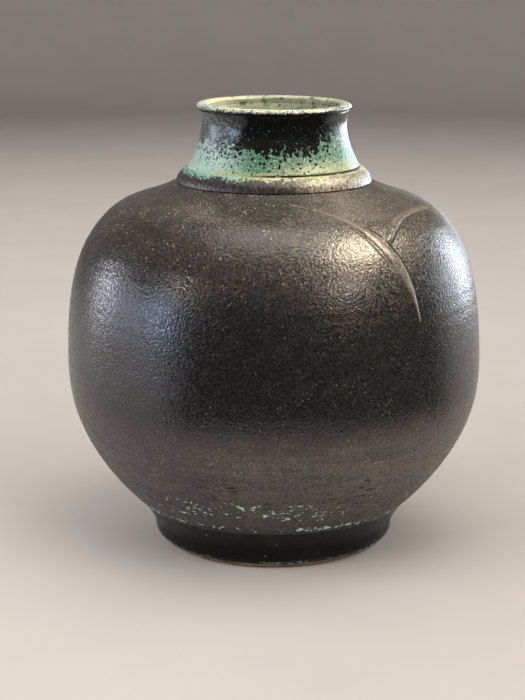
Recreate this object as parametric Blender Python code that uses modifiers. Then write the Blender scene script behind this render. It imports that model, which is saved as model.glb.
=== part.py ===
"""Wheel-thrown stoneware vase, built from the sections a potter throws and joins.

A turned foot ring carries a floor disc and the lower body. The upper body, the collar, the neck and
the lip stand on it in turn, and two applied clay strips lie on the shoulder. Every level seam has a
tongue on the lower piece and a groove in the upper one. Metres, +Z up, origin on the ground under
the middle of the foot.
"""

import math

import bmesh
import bpy
from mathutils import Vector

# ---- driving dimensions -------------------------------------------------------------------------
GAP = 0.0003                  # clearance between pieces that touch
WALL = 0.0070                 # body wall, square to the surface
NECK_WALL = 0.0055            # neck wall, square to the surface

STANDING_RADIUS = 0.0655      # outer edge of the flat face that the vase stands on
STANDING_WIDTH = 0.0100       # width of that face
FOOT_HEIGHT = 0.0255
FOOT_TOP_RADIUS = 0.0815      # where the foot meets the body
FOOT_HEEL_RADIUS = 0.0733     # top of the foot's bevelled lower edge
FOOT_HEEL_HEIGHT = 0.0088
RECESS_LEAN = 0.0030          # how far the recess widens from the ground to its ceiling
FLOOR_THICKNESS = 0.0095
FLOOR_OVERLAP = 0.0060        # how far the lower body reaches in over the floor disc
FLOOR_LEDGE = 0.0090          # how far the foot ring reaches in under the floor disc

BELLY_RADIUS = 0.1250
BELLY_RISE = 0.0845           # foot to the widest point
SHOULDER_INSET = 0.0175       # belly radius less the radius at the turn of the shoulder
SHOULDER_RISE = 0.0841        # widest point to the turn of the shoulder
MOUTH_RADIUS = 0.0595         # outer edge of the body's mouth
MOUTH_RISE = 0.0266           # turn of the shoulder to the mouth
THROAT_RADIUS = 0.0475        # bore of the body's mouth
SEAM_RISE = 0.0715            # foot to the seam between lower and upper body

FOOT_SPREAD = math.radians(42.0)      # the wall leaves the foot at this angle from level
SHOULDER_LEAN = math.radians(37.5)    # the wall at the turn of the shoulder, from upright
MOUTH_SLOPE = math.radians(26.0)      # the shoulder meets the mouth at this angle from level
SPREAD_REACH = 0.0350         # how long each curve holds the direction that it starts or ends in
BELLY_REACH_DOWN = 0.0316
BELLY_REACH_UP = 0.0320
SHOULDER_REACH_DOWN = 0.0263
SHOULDER_REACH_UP = 0.0251
MOUTH_REACH = 0.0289
HEEL_FILLET_RISE = 0.0200     # height of the hollow curve between floor and wall, inside

COLLAR_HEIGHT = 0.0088
COLLAR_SETBACK = 0.0010       # groove between the mouth's edge and the collar
COLLAR_TOP_RADIUS = 0.0526
COLLAR_BULGE = 0.0012

NECK_HEIGHT = 0.0338
NECK_FOOT_RADIUS = 0.0514
NECK_WAIST_RADIUS = 0.0432
NECK_WAIST_RISE = 0.0255      # bottom of the neck to its waist
NECK_TOP_RADIUS = 0.0449
NECK_LEAN = math.radians(30.0)        # the neck's foot leans in this far from upright
NECK_REACH = 0.0078

LIP_HEIGHT = 0.0042
LIP_RADIUS = 0.0461
LIP_DROP = 0.0020             # widest part of the lip to its crest

TONGUE_WIDTH = 0.0022         # tongue and groove of every level seam
TONGUE_HEIGHT = 0.0018

STRIP_HALF_WIDTH = 0.0027     # applied strips on the shoulder
STRIP_END_HALF_WIDTH = 0.0007
STRIP_CROWN = 0.0014
STRIP_END_CROWN = 0.0004
STRIP_EDGE = 0.0002           # thickness of a strip at its edges
# each strip's centre line: azimuth in degrees, and distance from the mouth's edge down the shoulder
MAIN_STRIP = ((-83.0, 0.0110), (-62.0, 0.0235), (-51.0, 0.0595), (-48.5, 0.0990))
BRANCH_STRIP = ((-13.5, 0.0345), (-34.5, 0.0280), (-44.0, 0.0360), (-55.0, 0.0560))
MAIN_STRIP_STATIONS = 27
BRANCH_STRIP_STATIONS = 20

TURN_STEPS = 48               # sides of every turned piece
LOWER_WALL_SEGMENTS = 8
UPPER_WALL_SEGMENTS = 6       # each side of the turn of the shoulder
TRUE_WALL_SEGMENTS = 60       # for the true curve that the strips lie on
MERGE = 0.00001

# ---- heights that follow ------------------------------------------------------------------------
BELLY_HEIGHT = FOOT_HEIGHT + BELLY_RISE
SEAM_HEIGHT = FOOT_HEIGHT + SEAM_RISE
SHOULDER_HEIGHT = BELLY_HEIGHT + SHOULDER_RISE
MOUTH_HEIGHT = SHOULDER_HEIGHT + MOUTH_RISE
COLLAR_TOP = MOUTH_HEIGHT + COLLAR_HEIGHT
NECK_TOP = COLLAR_TOP + NECK_HEIGHT
LIP_TOP = NECK_TOP + LIP_HEIGHT
FLOOR_RADIUS = STANDING_RADIUS - STANDING_WIDTH + RECESS_LEAN + FLOOR_LEDGE
THROAT_HEIGHT = MOUTH_HEIGHT - WALL * math.cos(MOUTH_SLOPE)

# ---- outline helpers ----------------------------------------------------------------------------


def point(radius, height):
    """A point of an outline: distance from the axis, and height."""
    return Vector((radius, height))


def heading(angle):
    """The unit direction at an angle from level, outwards and up."""
    return Vector((math.cos(angle), math.sin(angle)))


def bezier(start, start_handle, end_handle, end, segments):
    """Points along a cubic curve, both ends included."""
    points = []
    for index in range(segments + 1):
        t = index / segments
        u = 1.0 - t
        points.append(u**3 * start + 3 * u * u * t * start_handle + 3 * u * t * t * end_handle + t**3 * end)
    return points


def offset(points, distance):
    """An outline that runs upwards, moved in towards the axis square to itself."""
    moved = []
    for index, place in enumerate(points):
        before = points[max(index - 1, 0)]
        after = points[min(index + 1, len(points) - 1)]
        along = (after - before).normalized()
        moved.append(place + distance * Vector((-along.y, along.x)))
    return moved


def at_height(points, height):
    """Where an outline that runs upwards passes a height."""
    for low, high in zip(points, points[1:]):
        if low.y <= height <= high.y:
            return low.lerp(high, (height - low.y) / (high.y - low.y))
    return point(points[-1].x if height > points[-1].y else points[0].x, height)


def between(points, low, high, clear=0.0015):
    """The stretch of an outline between two heights; a point nearer than clear to a cut is dropped."""
    kept = [place for place in points if low + clear < place.y < high - clear]
    return [at_height(points, low)] + kept + [at_height(points, high)]


def tongue(radius, height):
    """The tongue on a level top face, walked from the axis outwards."""
    half = TONGUE_WIDTH / 2
    top = height + TONGUE_HEIGHT
    return [point(radius - half, height), point(radius - half, top), point(radius + half, top),
            point(radius + half, height)]


def groove(radius, height):
    """The groove over a tongue at that radius, in a level bottom face, walked towards the axis."""
    half = TONGUE_WIDTH / 2 + GAP
    top = height + TONGUE_HEIGHT
    return [point(radius + half, height), point(radius + half, top), point(radius - half, top),
            point(radius - half, height)]


# ---- outlines of the walls, all running upwards ------------------------------------------------


def lower_wall(segments):
    """Outside of the body from the foot to the widest point."""
    start = point(FOOT_TOP_RADIUS, FOOT_HEIGHT + GAP)
    end = point(BELLY_RADIUS, BELLY_HEIGHT)
    spread = start + SPREAD_REACH * heading(FOOT_SPREAD)
    return bezier(start, spread, end - point(0, BELLY_REACH_DOWN), end, segments)


def upper_wall(segments):
    """Outside of the body from the widest point to the mouth, with that many segments each side of the turn."""
    belly = point(BELLY_RADIUS, BELLY_HEIGHT)
    turn = point(BELLY_RADIUS - SHOULDER_INSET, SHOULDER_HEIGHT)
    mouth = point(MOUTH_RADIUS, MOUTH_HEIGHT)
    lean = heading(math.pi / 2 + SHOULDER_LEAN)
    slope = mouth + MOUTH_REACH * heading(-MOUTH_SLOPE)
    side = bezier(belly, belly + point(0, BELLY_REACH_UP), turn - SHOULDER_REACH_DOWN * lean, turn, segments)
    top = bezier(turn, turn + SHOULDER_REACH_UP * lean, slope, mouth, segments)
    return side + top[1:]


def body_wall():
    """Outside of the whole body, from the foot to the mouth."""
    return lower_wall(LOWER_WALL_SEGMENTS) + upper_wall(UPPER_WALL_SEGMENTS)[1:]


def neck_wall():
    """Outside of the neck, from the collar to the lip."""
    foot = point(NECK_FOOT_RADIUS, COLLAR_TOP + GAP)
    waist = point(NECK_WAIST_RADIUS, foot.y + NECK_WAIST_RISE)
    top = point(NECK_TOP_RADIUS, NECK_TOP)
    lean = heading(math.pi / 2 + NECK_LEAN)
    rise = (top.y - waist.y) / 2
    lower = bezier(foot, foot + NECK_REACH * lean, waist - point(0, NECK_REACH), waist, 5)
    upper = bezier(waist, waist + point(0, rise), top - rise * heading(math.pi / 2 - NECK_LEAN / 2), top, 3)
    return lower + upper[1:]


def middle_radius(outside, inside, height):
    """Middle of a wall at a level seam."""
    return (at_height(outside, height).x + at_height(inside, height).x) / 2


# ---- objects ------------------------------------------------------------------------------------


def clear_scene():
    """Empties the scene that Blender starts with."""
    for thing in list(bpy.data.objects):
        bpy.data.objects.remove(thing, do_unlink=True)


def make_material(name, colour, roughness):
    """A plain glaze or clay."""
    material = bpy.data.materials.new(name)
    material.use_nodes = True
    shader = material.node_tree.nodes["Principled BSDF"]
    shader.inputs["Base Color"].default_value = (*colour, 1.0)
    shader.inputs["Roughness"].default_value = roughness
    shader.inputs["Metallic"].default_value = 0.0
    return material


def add_object(name, mesh, collection, material):
    """Puts a mesh in the vase's collection under its piece's name."""
    mesh.materials.append(material)
    piece = bpy.data.objects.new(name, mesh)
    collection.objects.link(piece)
    return piece


def turn(name, outline, collection, material, closed=True):
    """A turned piece. The outline runs down its outer side, in, up its inner side and out again."""
    mesh = bpy.data.meshes.new(name)
    corners = [(place.x, 0.0, place.y) for place in outline]
    last = len(corners) if closed else len(corners) - 1
    edges = [(index, (index + 1) % len(corners)) for index in range(last)]
    mesh.from_pydata(corners, edges, [])
    piece = add_object(name, mesh, collection, material)
    screw = piece.modifiers.new("turn", "SCREW")
    screw.axis = "Z"
    screw.angle = math.tau
    screw.steps = TURN_STEPS
    screw.render_steps = TURN_STEPS
    screw.use_merge_vertices = True
    screw.merge_threshold = MERGE
    screw.use_normal_calculate = False
    screw.use_smooth_shade = True
    return piece


# ---- pieces -------------------------------------------------------------------------------------


def foot_tongue_radius():
    """Middle of the foot's top face, outside the floor disc."""
    return (FLOOR_RADIUS + FOOT_TOP_RADIUS) / 2


def build_foot_ring(collection):
    """The ring that the vase stands on, with a ledge for the floor disc."""
    heel = point(FOOT_HEEL_RADIUS, FOOT_HEEL_HEIGHT)
    top = point(FOOT_TOP_RADIUS, FOOT_HEIGHT)
    reach = (top.y - heel.y) / 3
    flare = bezier(top, top - point(reach * 0.7, reach), heel + point(0, reach), heel, 4)
    edge = point(STANDING_RADIUS, 0)
    bevel = bezier(heel, heel - point(0, FOOT_HEEL_HEIGHT / 2), edge + point(0.003, 0.0012), edge, 4)
    ledge = FOOT_HEIGHT - FLOOR_THICKNESS - GAP
    inner = STANDING_RADIUS - STANDING_WIDTH
    inside = [point(inner, 0), point(inner + RECESS_LEAN, ledge), point(FLOOR_RADIUS + GAP, ledge),
              point(FLOOR_RADIUS + GAP, FOOT_HEIGHT)]
    outline = flare + bevel[1:] + inside + tongue(foot_tongue_radius(), FOOT_HEIGHT)
    return turn("foot_ring", outline, collection, make_material("foot_glaze", (0.012, 0.012, 0.012), 0.28))


def build_base_disc(collection):
    """The floor, let into the foot ring flush with its top."""
    low = FOOT_HEIGHT - FLOOR_THICKNESS
    outline = [point(0, FOOT_HEIGHT), point(FLOOR_RADIUS, FOOT_HEIGHT), point(FLOOR_RADIUS, low), point(0, low)]
    material = make_material("base_clay", (0.22, 0.10, 0.05), 0.8)
    return turn("base_disc", outline, collection, material, closed=False)


def build_lower_body(collection):
    """The bowl-shaped wall from the foot to the seam below the widest point."""
    bottom = FOOT_HEIGHT + GAP
    outside = body_wall()
    inside = offset(outside, WALL)
    toe = point(FLOOR_RADIUS - FLOOR_OVERLAP, bottom)
    heel_top = at_height(inside, bottom + HEEL_FILLET_RISE)
    heel_edge = toe + point(0, WALL / 3)
    fillet = bezier(heel_edge, heel_edge + point(HEEL_FILLET_RISE / 2, 0),
                    heel_top - HEEL_FILLET_RISE / 2 * heading(FOOT_SPREAD), heel_top, 4)
    seam = middle_radius(outside, inside, SEAM_HEIGHT)
    outline = list(reversed(between(outside, bottom, SEAM_HEIGHT)))
    outline += groove(foot_tongue_radius(), bottom)
    outline += [toe] + fillet + between(inside, heel_top.y, SEAM_HEIGHT)[1:]
    outline += tongue(seam, SEAM_HEIGHT)
    return turn("lower_body", outline, collection, make_material("matte_glaze", (0.060, 0.052, 0.044), 0.55))


def build_upper_body(collection):
    """The belly and the shoulder, up to the level seat around the mouth."""
    bottom = SEAM_HEIGHT + GAP
    outside = body_wall()
    inside = offset(outside, WALL)
    seam = middle_radius(outside, inside, SEAM_HEIGHT)
    outline = list(reversed(between(outside, bottom, MOUTH_HEIGHT)))
    outline += groove(seam, bottom)
    outline += between(inside, bottom, THROAT_HEIGHT)
    outline += [point(THROAT_RADIUS, THROAT_HEIGHT), point(THROAT_RADIUS, MOUTH_HEIGHT)]
    outline += tongue((THROAT_RADIUS + MOUTH_RADIUS) / 2, MOUTH_HEIGHT)
    return turn("upper_body", outline, collection, make_material("satin_glaze", (0.030, 0.026, 0.021), 0.4))


def neck_seam_radius(height):
    """Middle of the neck wall at a level seam."""
    outside = neck_wall()
    return middle_radius(outside, offset(outside, NECK_WALL), height)


def build_neck_collar(collection):
    """The raised band between the shoulder and the neck."""
    bottom = MOUTH_HEIGHT + GAP
    low = point(MOUTH_RADIUS - COLLAR_SETBACK, bottom)
    high = point(COLLAR_TOP_RADIUS, COLLAR_TOP)
    across = (high - low).normalized()
    bulge = 4 / 3 * COLLAR_BULGE * Vector((across.y, -across.x))
    third = (high - low) / 3
    band = bezier(high, high - third + bulge, low + third + bulge, low, 4)
    neck_inside = at_height(offset(neck_wall(), NECK_WALL), COLLAR_TOP + GAP).x
    outline = band + groove((THROAT_RADIUS + MOUTH_RADIUS) / 2, bottom)
    outline += [point(THROAT_RADIUS, bottom), point(neck_inside, COLLAR_TOP)]
    outline += tongue(neck_seam_radius(COLLAR_TOP + GAP), COLLAR_TOP)
    return turn("neck_collar", outline, collection, make_material("collar_glaze", (0.028, 0.022, 0.018), 0.35))


def build_neck(collection):
    """The waisted neck."""
    outside = neck_wall()
    bottom = outside[0].y
    inside = offset(outside, NECK_WALL)
    outline = list(reversed(outside)) + groove(neck_seam_radius(bottom), bottom)
    outline += between(inside, bottom, NECK_TOP)
    outline += tongue(neck_seam_radius(NECK_TOP), NECK_TOP)
    return turn("neck", outline, collection, make_material("copper_glaze", (0.10, 0.20, 0.14), 0.3))


def build_lip(collection):
    """The rolled lip on top of the neck."""
    bottom = NECK_TOP + GAP
    inner = at_height(offset(neck_wall(), NECK_WALL), NECK_TOP).x
    widest = LIP_TOP - LIP_DROP
    middle = (LIP_RADIUS + inner) / 2
    half = (LIP_RADIUS - inner) / 2
    crown_steps = 6
    crown = []
    for index in range(crown_steps + 1):
        angle = math.pi * index / crown_steps
        crown.append(point(middle - half * math.cos(angle), widest + LIP_DROP * math.sin(angle)))
    outline = crown + [point(NECK_TOP_RADIUS, bottom)]
    outline += groove(neck_seam_radius(NECK_TOP), bottom) + [point(inner, bottom)]
    return turn("lip", outline, collection, make_material("cream_glaze", (0.50, 0.47, 0.34), 0.3))


# ---- applied strips -----------------------------------------------------------------------------


def on_shoulder(azimuth, distance, lift):
    """A point over the true round surface of the shoulder, which its flat facets never pass.

    azimuth is in radians, distance runs down the outside from the mouth's edge, and lift is the
    height over the surface.
    """
    outline = list(reversed(upper_wall(TRUE_WALL_SEGMENTS)))
    walked = 0.0
    for high, low in zip(outline, outline[1:]):
        length = (low - high).length
        if walked + length >= distance:
            break
        walked += length
    along = (low - high).normalized()
    place = high + (distance - walked) * along + lift * Vector((-along.y, along.x))
    return Vector((place.x * math.cos(azimuth), place.x * math.sin(azimuth), place.y))


def strip_path(controls, stations):
    """Centre line of a strip as pairs of azimuth in radians and distance."""
    places = [point(math.radians(azimuth), distance) for azimuth, distance in controls]
    return bezier(*places, stations - 1)


def strip_section(path, index, half_width, crown):
    """One cross-section of a strip: three points underneath, then five over the top."""
    here = path[index]
    ahead = path[min(index + 1, len(path) - 1)]
    behind = path[max(index - 1, 0)]
    radius = on_shoulder(here.x, here.y, 0).xy.length
    run = Vector(((ahead.x - behind.x) * radius, ahead.y - behind.y)).normalized()
    section = []
    for across, over in ((-1, 0), (0, 0), (1, 0), (1, 1), (0.5, 1), (0, 1), (-0.5, 1), (-1, 1)):
        side = across * half_width
        lift = GAP + over * (STRIP_EDGE + crown * (1 - across**2))
        section.append(on_shoulder(here.x + side * run.y / radius, here.y - side * run.x, lift))
    return section


def strip_sections(controls, stations, thin_at_end):
    """All cross-sections of a strip, thin where it fades into the shoulder."""
    path = strip_path(controls, stations)
    sections = []
    for index in range(stations):
        t = index / (stations - 1)
        swell = math.sin(math.pi * t) ** 2 if thin_at_end else math.sin(math.pi / 2 * t)
        half_width = STRIP_END_HALF_WIDTH + (STRIP_HALF_WIDTH - STRIP_END_HALF_WIDTH) * swell
        crown = STRIP_END_CROWN + (STRIP_CROWN - STRIP_END_CROWN) * swell
        sections.append(strip_section(path, index, half_width, crown))
    return sections


def loft(name, sections, collection, material):
    """A closed strip through its cross-sections."""
    shape = bmesh.new()
    rings = [[shape.verts.new(place) for place in section] for section in sections]
    count = len(rings[0])
    for ring, following in zip(rings, rings[1:]):
        for index in range(count):
            beside = (index + 1) % count
            shape.faces.new((ring[index], ring[beside], following[beside], following[index]))
    shape.faces.new(list(reversed(rings[0])))
    shape.faces.new(rings[-1])
    bmesh.ops.recalc_face_normals(shape, faces=shape.faces)
    mesh = bpy.data.meshes.new(name)
    shape.to_mesh(mesh)
    shape.free()
    mesh.shade_smooth()
    mesh.set_sharp_from_angle(angle=math.radians(50))
    return add_object(name, mesh, collection, material)


def clear_of(section, other_sections):
    """Whether a cross-section keeps the clearance to a strip's sides."""
    for other in other_sections:
        reach = (other[0] - other[2]).length / 2 + GAP
        if any((corner - other[1]).length < reach for corner in (section[0], section[2])):
            return False
    return True


def build_strips(collection):
    """The main strip, and the branch that stops against its side."""
    material = make_material("strip_glaze", (0.030, 0.024, 0.020), 0.35)
    main = strip_sections(MAIN_STRIP, MAIN_STRIP_STATIONS, thin_at_end=True)
    branch = []
    for section in strip_sections(BRANCH_STRIP, BRANCH_STRIP_STATIONS, thin_at_end=False):
        if not clear_of(section, main):
            break
        branch.append(section)
    loft("shoulder_ridge_main", main, collection, material)
    loft("shoulder_ridge_branch", branch, collection, material)


def main():
    """Builds the vase."""
    clear_scene()
    collection = bpy.data.collections.new("black_glazed_vase")
    bpy.context.scene.collection.children.link(collection)
    build_foot_ring(collection)
    build_base_disc(collection)
    build_lower_body(collection)
    build_upper_body(collection)
    build_neck_collar(collection)
    build_neck(collection)
    build_lip(collection)
    build_strips(collection)


main()
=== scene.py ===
"""Looks of a black-glazed stoneware vase, built around its packed sections.

Every turned section follows the outline of its CAD node, taken as a smooth curve through the
node's corner points. Lengths are in metres and angles in degrees unless a name says otherwise.
Azimuth -90 is the front, the side with the forked ridge on its right shoulder.
"""

import logging
import math
from collections.abc import Callable
from dataclasses import dataclass
from enum import Enum

import bmesh
import bpy
import numpy as np
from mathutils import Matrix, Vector
from mathutils.bvhtree import BVHTree


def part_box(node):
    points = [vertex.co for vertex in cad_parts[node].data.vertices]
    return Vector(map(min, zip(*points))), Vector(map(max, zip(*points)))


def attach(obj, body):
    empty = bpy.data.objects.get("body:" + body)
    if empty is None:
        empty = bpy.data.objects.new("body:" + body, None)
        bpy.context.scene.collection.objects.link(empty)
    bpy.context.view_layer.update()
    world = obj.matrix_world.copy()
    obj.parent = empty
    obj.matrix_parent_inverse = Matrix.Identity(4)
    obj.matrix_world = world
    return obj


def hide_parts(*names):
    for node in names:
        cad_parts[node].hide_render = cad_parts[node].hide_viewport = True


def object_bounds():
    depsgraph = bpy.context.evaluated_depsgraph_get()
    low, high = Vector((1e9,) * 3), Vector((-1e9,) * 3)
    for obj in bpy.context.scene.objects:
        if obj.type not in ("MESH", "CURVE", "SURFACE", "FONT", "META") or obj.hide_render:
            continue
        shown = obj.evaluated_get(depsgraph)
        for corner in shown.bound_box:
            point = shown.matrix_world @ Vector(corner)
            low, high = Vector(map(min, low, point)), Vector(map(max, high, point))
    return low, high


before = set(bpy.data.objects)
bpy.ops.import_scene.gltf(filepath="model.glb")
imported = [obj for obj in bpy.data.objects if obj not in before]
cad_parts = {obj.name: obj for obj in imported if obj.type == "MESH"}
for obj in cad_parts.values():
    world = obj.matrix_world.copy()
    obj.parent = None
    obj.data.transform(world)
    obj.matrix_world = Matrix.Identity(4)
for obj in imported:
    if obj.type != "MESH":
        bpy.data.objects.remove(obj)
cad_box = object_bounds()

LOG = logging.getLogger("vase")
TINY = 1e-5
MM = 0.001

Array = np.ndarray
Object = bpy.types.Object
Material = bpy.types.Material
Socket = bpy.types.NodeSocket
Value = float | Socket
Colour = tuple[float, float, float]
Tint = Colour | Socket

# An azimuth, and the cosines of the angles from it where a value is 1 and where it is 0.
Facing = tuple[float, float, float]
# A height over some level, half of a belt's height there, and the distance over which it fades.
Belt = tuple[float, float, float]


class Side(Enum):
    """The side of a wall that is looked at."""

    OUTSIDE = "outside"
    INSIDE = "inside"


class Slot(Enum):
    """The record's material slots."""

    FOOT = "foot_glaze"
    BASE = "base_clay"
    MATTE = "matte_glaze"
    SATIN = "satin_glaze"
    COLLAR = "collar_glaze"
    COPPER = "copper_glaze"
    CREAM = "cream_glaze"
    RIDGE = "ridge_glaze"


class Receiver(Enum):
    """What a light falls on."""

    ALL = "all_pieces"
    BODY = "body_pieces"
    NECK = "neck_pieces"
    FLOOR = "floor_pieces"


# ---- outlines ----


def seen_corners(node: str, side: Side, low: float, high: float) -> Array:
    """Corner points of a turned CAD node that show from one side, between two heights.

    Args:
        node: Name of the CAD node.
        side: OUTSIDE looks in towards the axis, INSIDE looks out from it.
        low: Lowest height that is kept.
        high: Greatest height that is kept.

    Returns:
        Rows of (radius, height), from the lowest up.
    """
    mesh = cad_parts[node].data
    tree = BVHTree.FromPolygons([v.co for v in mesh.vertices], [list(p.vertices) for p in mesh.polygons])
    outside = side is Side.OUTSIDE
    close = 0.3 * MM
    start, look = (1.0, Vector((-1, 0, 0))) if outside else (0.0, Vector((1, 0, 0)))
    kept: dict[float, float] = {}
    for vertex in mesh.vertices:
        radius, across, height = vertex.co
        if radius < TINY or abs(across) > TINY or not low - TINY <= height <= high + TINY:
            continue
        for nudge in (-2 * TINY, 2 * TINY):
            hit = tree.ray_cast(Vector((start, TINY, height + nudge)), look)[0]
            if hit is None or abs(hit.x - radius) > close:
                continue
            level = round(height, 5)
            better = max if outside else min
            kept[level] = better(radius, kept.get(level, radius))
    return np.array([(kept[level], level) for level in sorted(kept)])


def even_steps(start: float, end: float, step: float) -> Array:
    """Even values from start to end, both included, no further apart than step."""
    return np.linspace(start, end, max(2, math.ceil(abs(end - start) / step) + 1))


class Outline:
    """A smooth curve through points of (radius, height): a natural cubic spline by distance along it."""

    def __init__(self, points: Array) -> None:
        """Solves the spline.

        Args:
            points: Rows of (radius, height), in the order that the outline runs.
        """
        self.points = points
        steps = np.hypot(*np.diff(points, axis=0).T)
        self.along = np.concatenate(([0.0], np.cumsum(steps)))
        count = len(points)
        system = np.eye(count)
        known = np.zeros((count, 2))
        for index in range(1, count - 1):
            before, after = steps[index - 1], steps[index]
            system[index, index - 1:index + 2] = (before, 2 * (before + after), after)
            slopes = np.diff(points[index - 1:index + 2], axis=0) / [[before], [after]]
            known[index] = 6 * (slopes[1] - slopes[0])
        self.bend = np.linalg.solve(system, known)
        self.length = float(self.along[-1])

    def at(self, distance: Array) -> Array:
        """Points at distances along the curve.

        Args:
            distance: Distances from the curve's start.

        Returns:
            Rows of (radius, height).
        """
        index = np.clip(np.searchsorted(self.along, distance) - 1, 0, len(self.along) - 2)
        span = (self.along[index + 1] - self.along[index])[:, None]
        right = (distance - self.along[index])[:, None] / span
        left = 1 - right
        curved = (left**3 - left) * self.bend[index] + (right**3 - right) * self.bend[index + 1]
        return left * self.points[index] + right * self.points[index + 1] + curved * span**2 / 6

    def sampled(self, step: float) -> Array:
        """Points along the whole curve, no further apart than step."""
        return self.at(even_steps(0.0, self.length, step))


def arc(centre: tuple[float, float], radii: tuple[float, float], start: float, end: float,
        count: int) -> Array:
    """Points on part of an ellipse.

    Args:
        centre: Its middle, as (radius, height).
        radii: Its half width and half height.
        start: First angle in degrees, from outwards towards up.
        end: Last angle in degrees.
        count: How many points.

    Returns:
        Rows of (radius, height).
    """
    angles = np.radians(np.linspace(start, end, count))
    return np.column_stack((centre[0] + radii[0] * np.cos(angles), centre[1] + radii[1] * np.sin(angles)))


def outward(points: Array, closed: bool) -> Array:
    """Unit normals of an outline, to the right of the way that it runs.

    Args:
        points: Rows of (radius, height).
        closed: Whether the last point joins the first.

    Returns:
        One (radial, upward) pair for each point.
    """
    if closed:
        run = np.roll(points, -1, axis=0) - np.roll(points, 1, axis=0)
    else:
        run = np.gradient(points, axis=0)
    normal = np.column_stack((run[:, 1], -run[:, 0]))
    return normal / np.maximum(np.hypot(*normal.T), 1e-12)[:, None]


# ---- meshes ----

Relief = Callable[[Array, Array], Array]


def on_axis_circle(places: Array, azimuths: Array) -> Array:
    """Puts a grid of outline points round the vase's axis.

    Args:
        places: A grid of (radius, height).
        azimuths: The azimuth of each, in radians.

    Returns:
        Rows of (x, y, z).
    """
    x = places[..., 0] * np.cos(azimuths)
    y = places[..., 0] * np.sin(azimuths)
    return np.stack((x, y, places[..., 1]), axis=-1).reshape(-1, 3)


def grid_mesh(name: str, places: Array, rows: int, columns: int, row_closed: bool,
              slots: Array | None = None, caps: bool = False) -> Object:
    """A mesh of four-sided faces over a grid of points that closes on itself across its columns.

    Args:
        name: Name of the object.
        places: Rows of (x, y, z), row after row of the grid.
        rows: How many rows the grid has.
        columns: How many columns it has.
        row_closed: Whether the last row joins the first.
        slots: Material index of the faces after each row.
        caps: Whether the first and last rows are closed by one face each.

    Returns:
        The object, linked to the scene.
    """
    row = np.arange(rows if row_closed else rows - 1)[:, None]
    column = np.arange(columns)[None, :]
    after = (row + 1) % rows
    beside = (column + 1) % columns
    corners = [row * columns + column, row * columns + beside,
               after * columns + beside, after * columns + column]
    faces = np.stack(corners, axis=-1).reshape(-1, 4)
    listed = faces.tolist()
    if caps:
        listed += [list(range(columns))[::-1], list(range((rows - 1) * columns, rows * columns))]
    mesh = bpy.data.meshes.new(name)
    mesh.from_pydata(places.tolist(), [], listed)
    mesh.update()
    if slots is not None:
        mesh.polygons.foreach_set("material_index", np.repeat(slots[: len(row)], columns).astype(np.int32))
    piece = bpy.data.objects.new(name, mesh)
    bpy.context.scene.collection.objects.link(piece)
    return piece


def finish_mesh(piece: Object, sharp: float = 40.0) -> None:
    """Turns a closed mesh's faces outwards and shades it smooth, with edges past an angle kept sharp.

    Args:
        piece: The object.
        sharp: That angle in degrees.
    """
    shape = bmesh.new()
    shape.from_mesh(piece.data)
    bmesh.ops.recalc_face_normals(shape, faces=shape.faces)
    shape.to_mesh(piece.data)
    shape.free()
    piece.data.shade_smooth()
    piece.data.set_sharp_from_angle(angle=math.radians(sharp))


def store(piece: Object, name: str, values: Array) -> None:
    """Stores a value on each point of a mesh, for its finish to read.

    Args:
        piece: The object.
        name: Name of the value.
        values: One value for each point, in their order.
    """
    attribute = piece.data.attributes.new(name, "FLOAT", "POINT")
    attribute.data.foreach_set("value", values.reshape(-1))


@dataclass(frozen=True)
class Run:
    """A stretch of a turned piece's closed outline, and how it is dressed.

    Attributes:
        points: Rows of (radius, height).
        slot: Material index of its faces.
        relief: Gives the lift square to the outline at (azimuth, height), or None.
    """

    points: Array
    slot: int = 0
    relief: Relief | None = None


def turned_piece(name: str, runs: list[Run], azimuths: Array, warp: Relief | None = None,
                 sharp: float = 40.0) -> Object:
    """A turned piece from the stretches of its closed outline.

    Args:
        name: Name of the object.
        runs: Stretches of the outline, up the outside, and down the inside.
        azimuths: Where its columns stand, in radians.
        warp: Gives how far each point is moved up, at (azimuth, height), or None.
        sharp: Edges past this angle, in degrees, stay sharp.

    Returns:
        The object.
    """
    points = np.concatenate([run.points for run in runs])
    slots = np.concatenate([np.full(len(run.points), run.slot) for run in runs])
    normals = outward(points, closed=True)
    shape = (len(points), len(azimuths))
    turn = np.broadcast_to(azimuths[None, :], shape)
    places = np.broadcast_to(points[:, None, :], (*shape, 2)).copy()
    first = 0
    for run in runs:
        rows = slice(first, first + len(run.points))
        if run.relief is not None:
            lift = run.relief(turn[rows], places[rows, :, 1])
            places[rows] += lift[..., None] * normals[rows, None, :]
        first += len(run.points)
    if warp is not None:
        places[..., 1] += warp(turn, places[..., 1])
    piece = grid_mesh(name, on_axis_circle(places, turn), *shape, row_closed=True, slots=slots)
    finish_mesh(piece, sharp)
    return piece


def columns(count: int) -> Array:
    """Evenly spaced azimuths in radians, once round."""
    return np.arange(count) * 2 * math.pi / count


def wander(azimuth: Array, height: Array, pitch: float, seed: float) -> Array:
    """A slow, irregular wave round and up a turned wall, from about -1 to 1.

    Args:
        azimuth: Azimuths in radians.
        height: Heights.
        pitch: Height over which it changes.
        seed: Shifts the pattern.

    Returns:
        The wave at each point.
    """
    level = 2 * math.pi * height / pitch
    waves = (np.sin(2 * azimuth + level + seed), np.sin(3 * azimuth - 0.7 * level + 2.1 * seed),
             np.sin(5 * azimuth + 1.6 * level + 3.3 * seed), np.sin(azimuth - 1.3 * level + 4.7 * seed))
    return sum(waves) / 3


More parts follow.
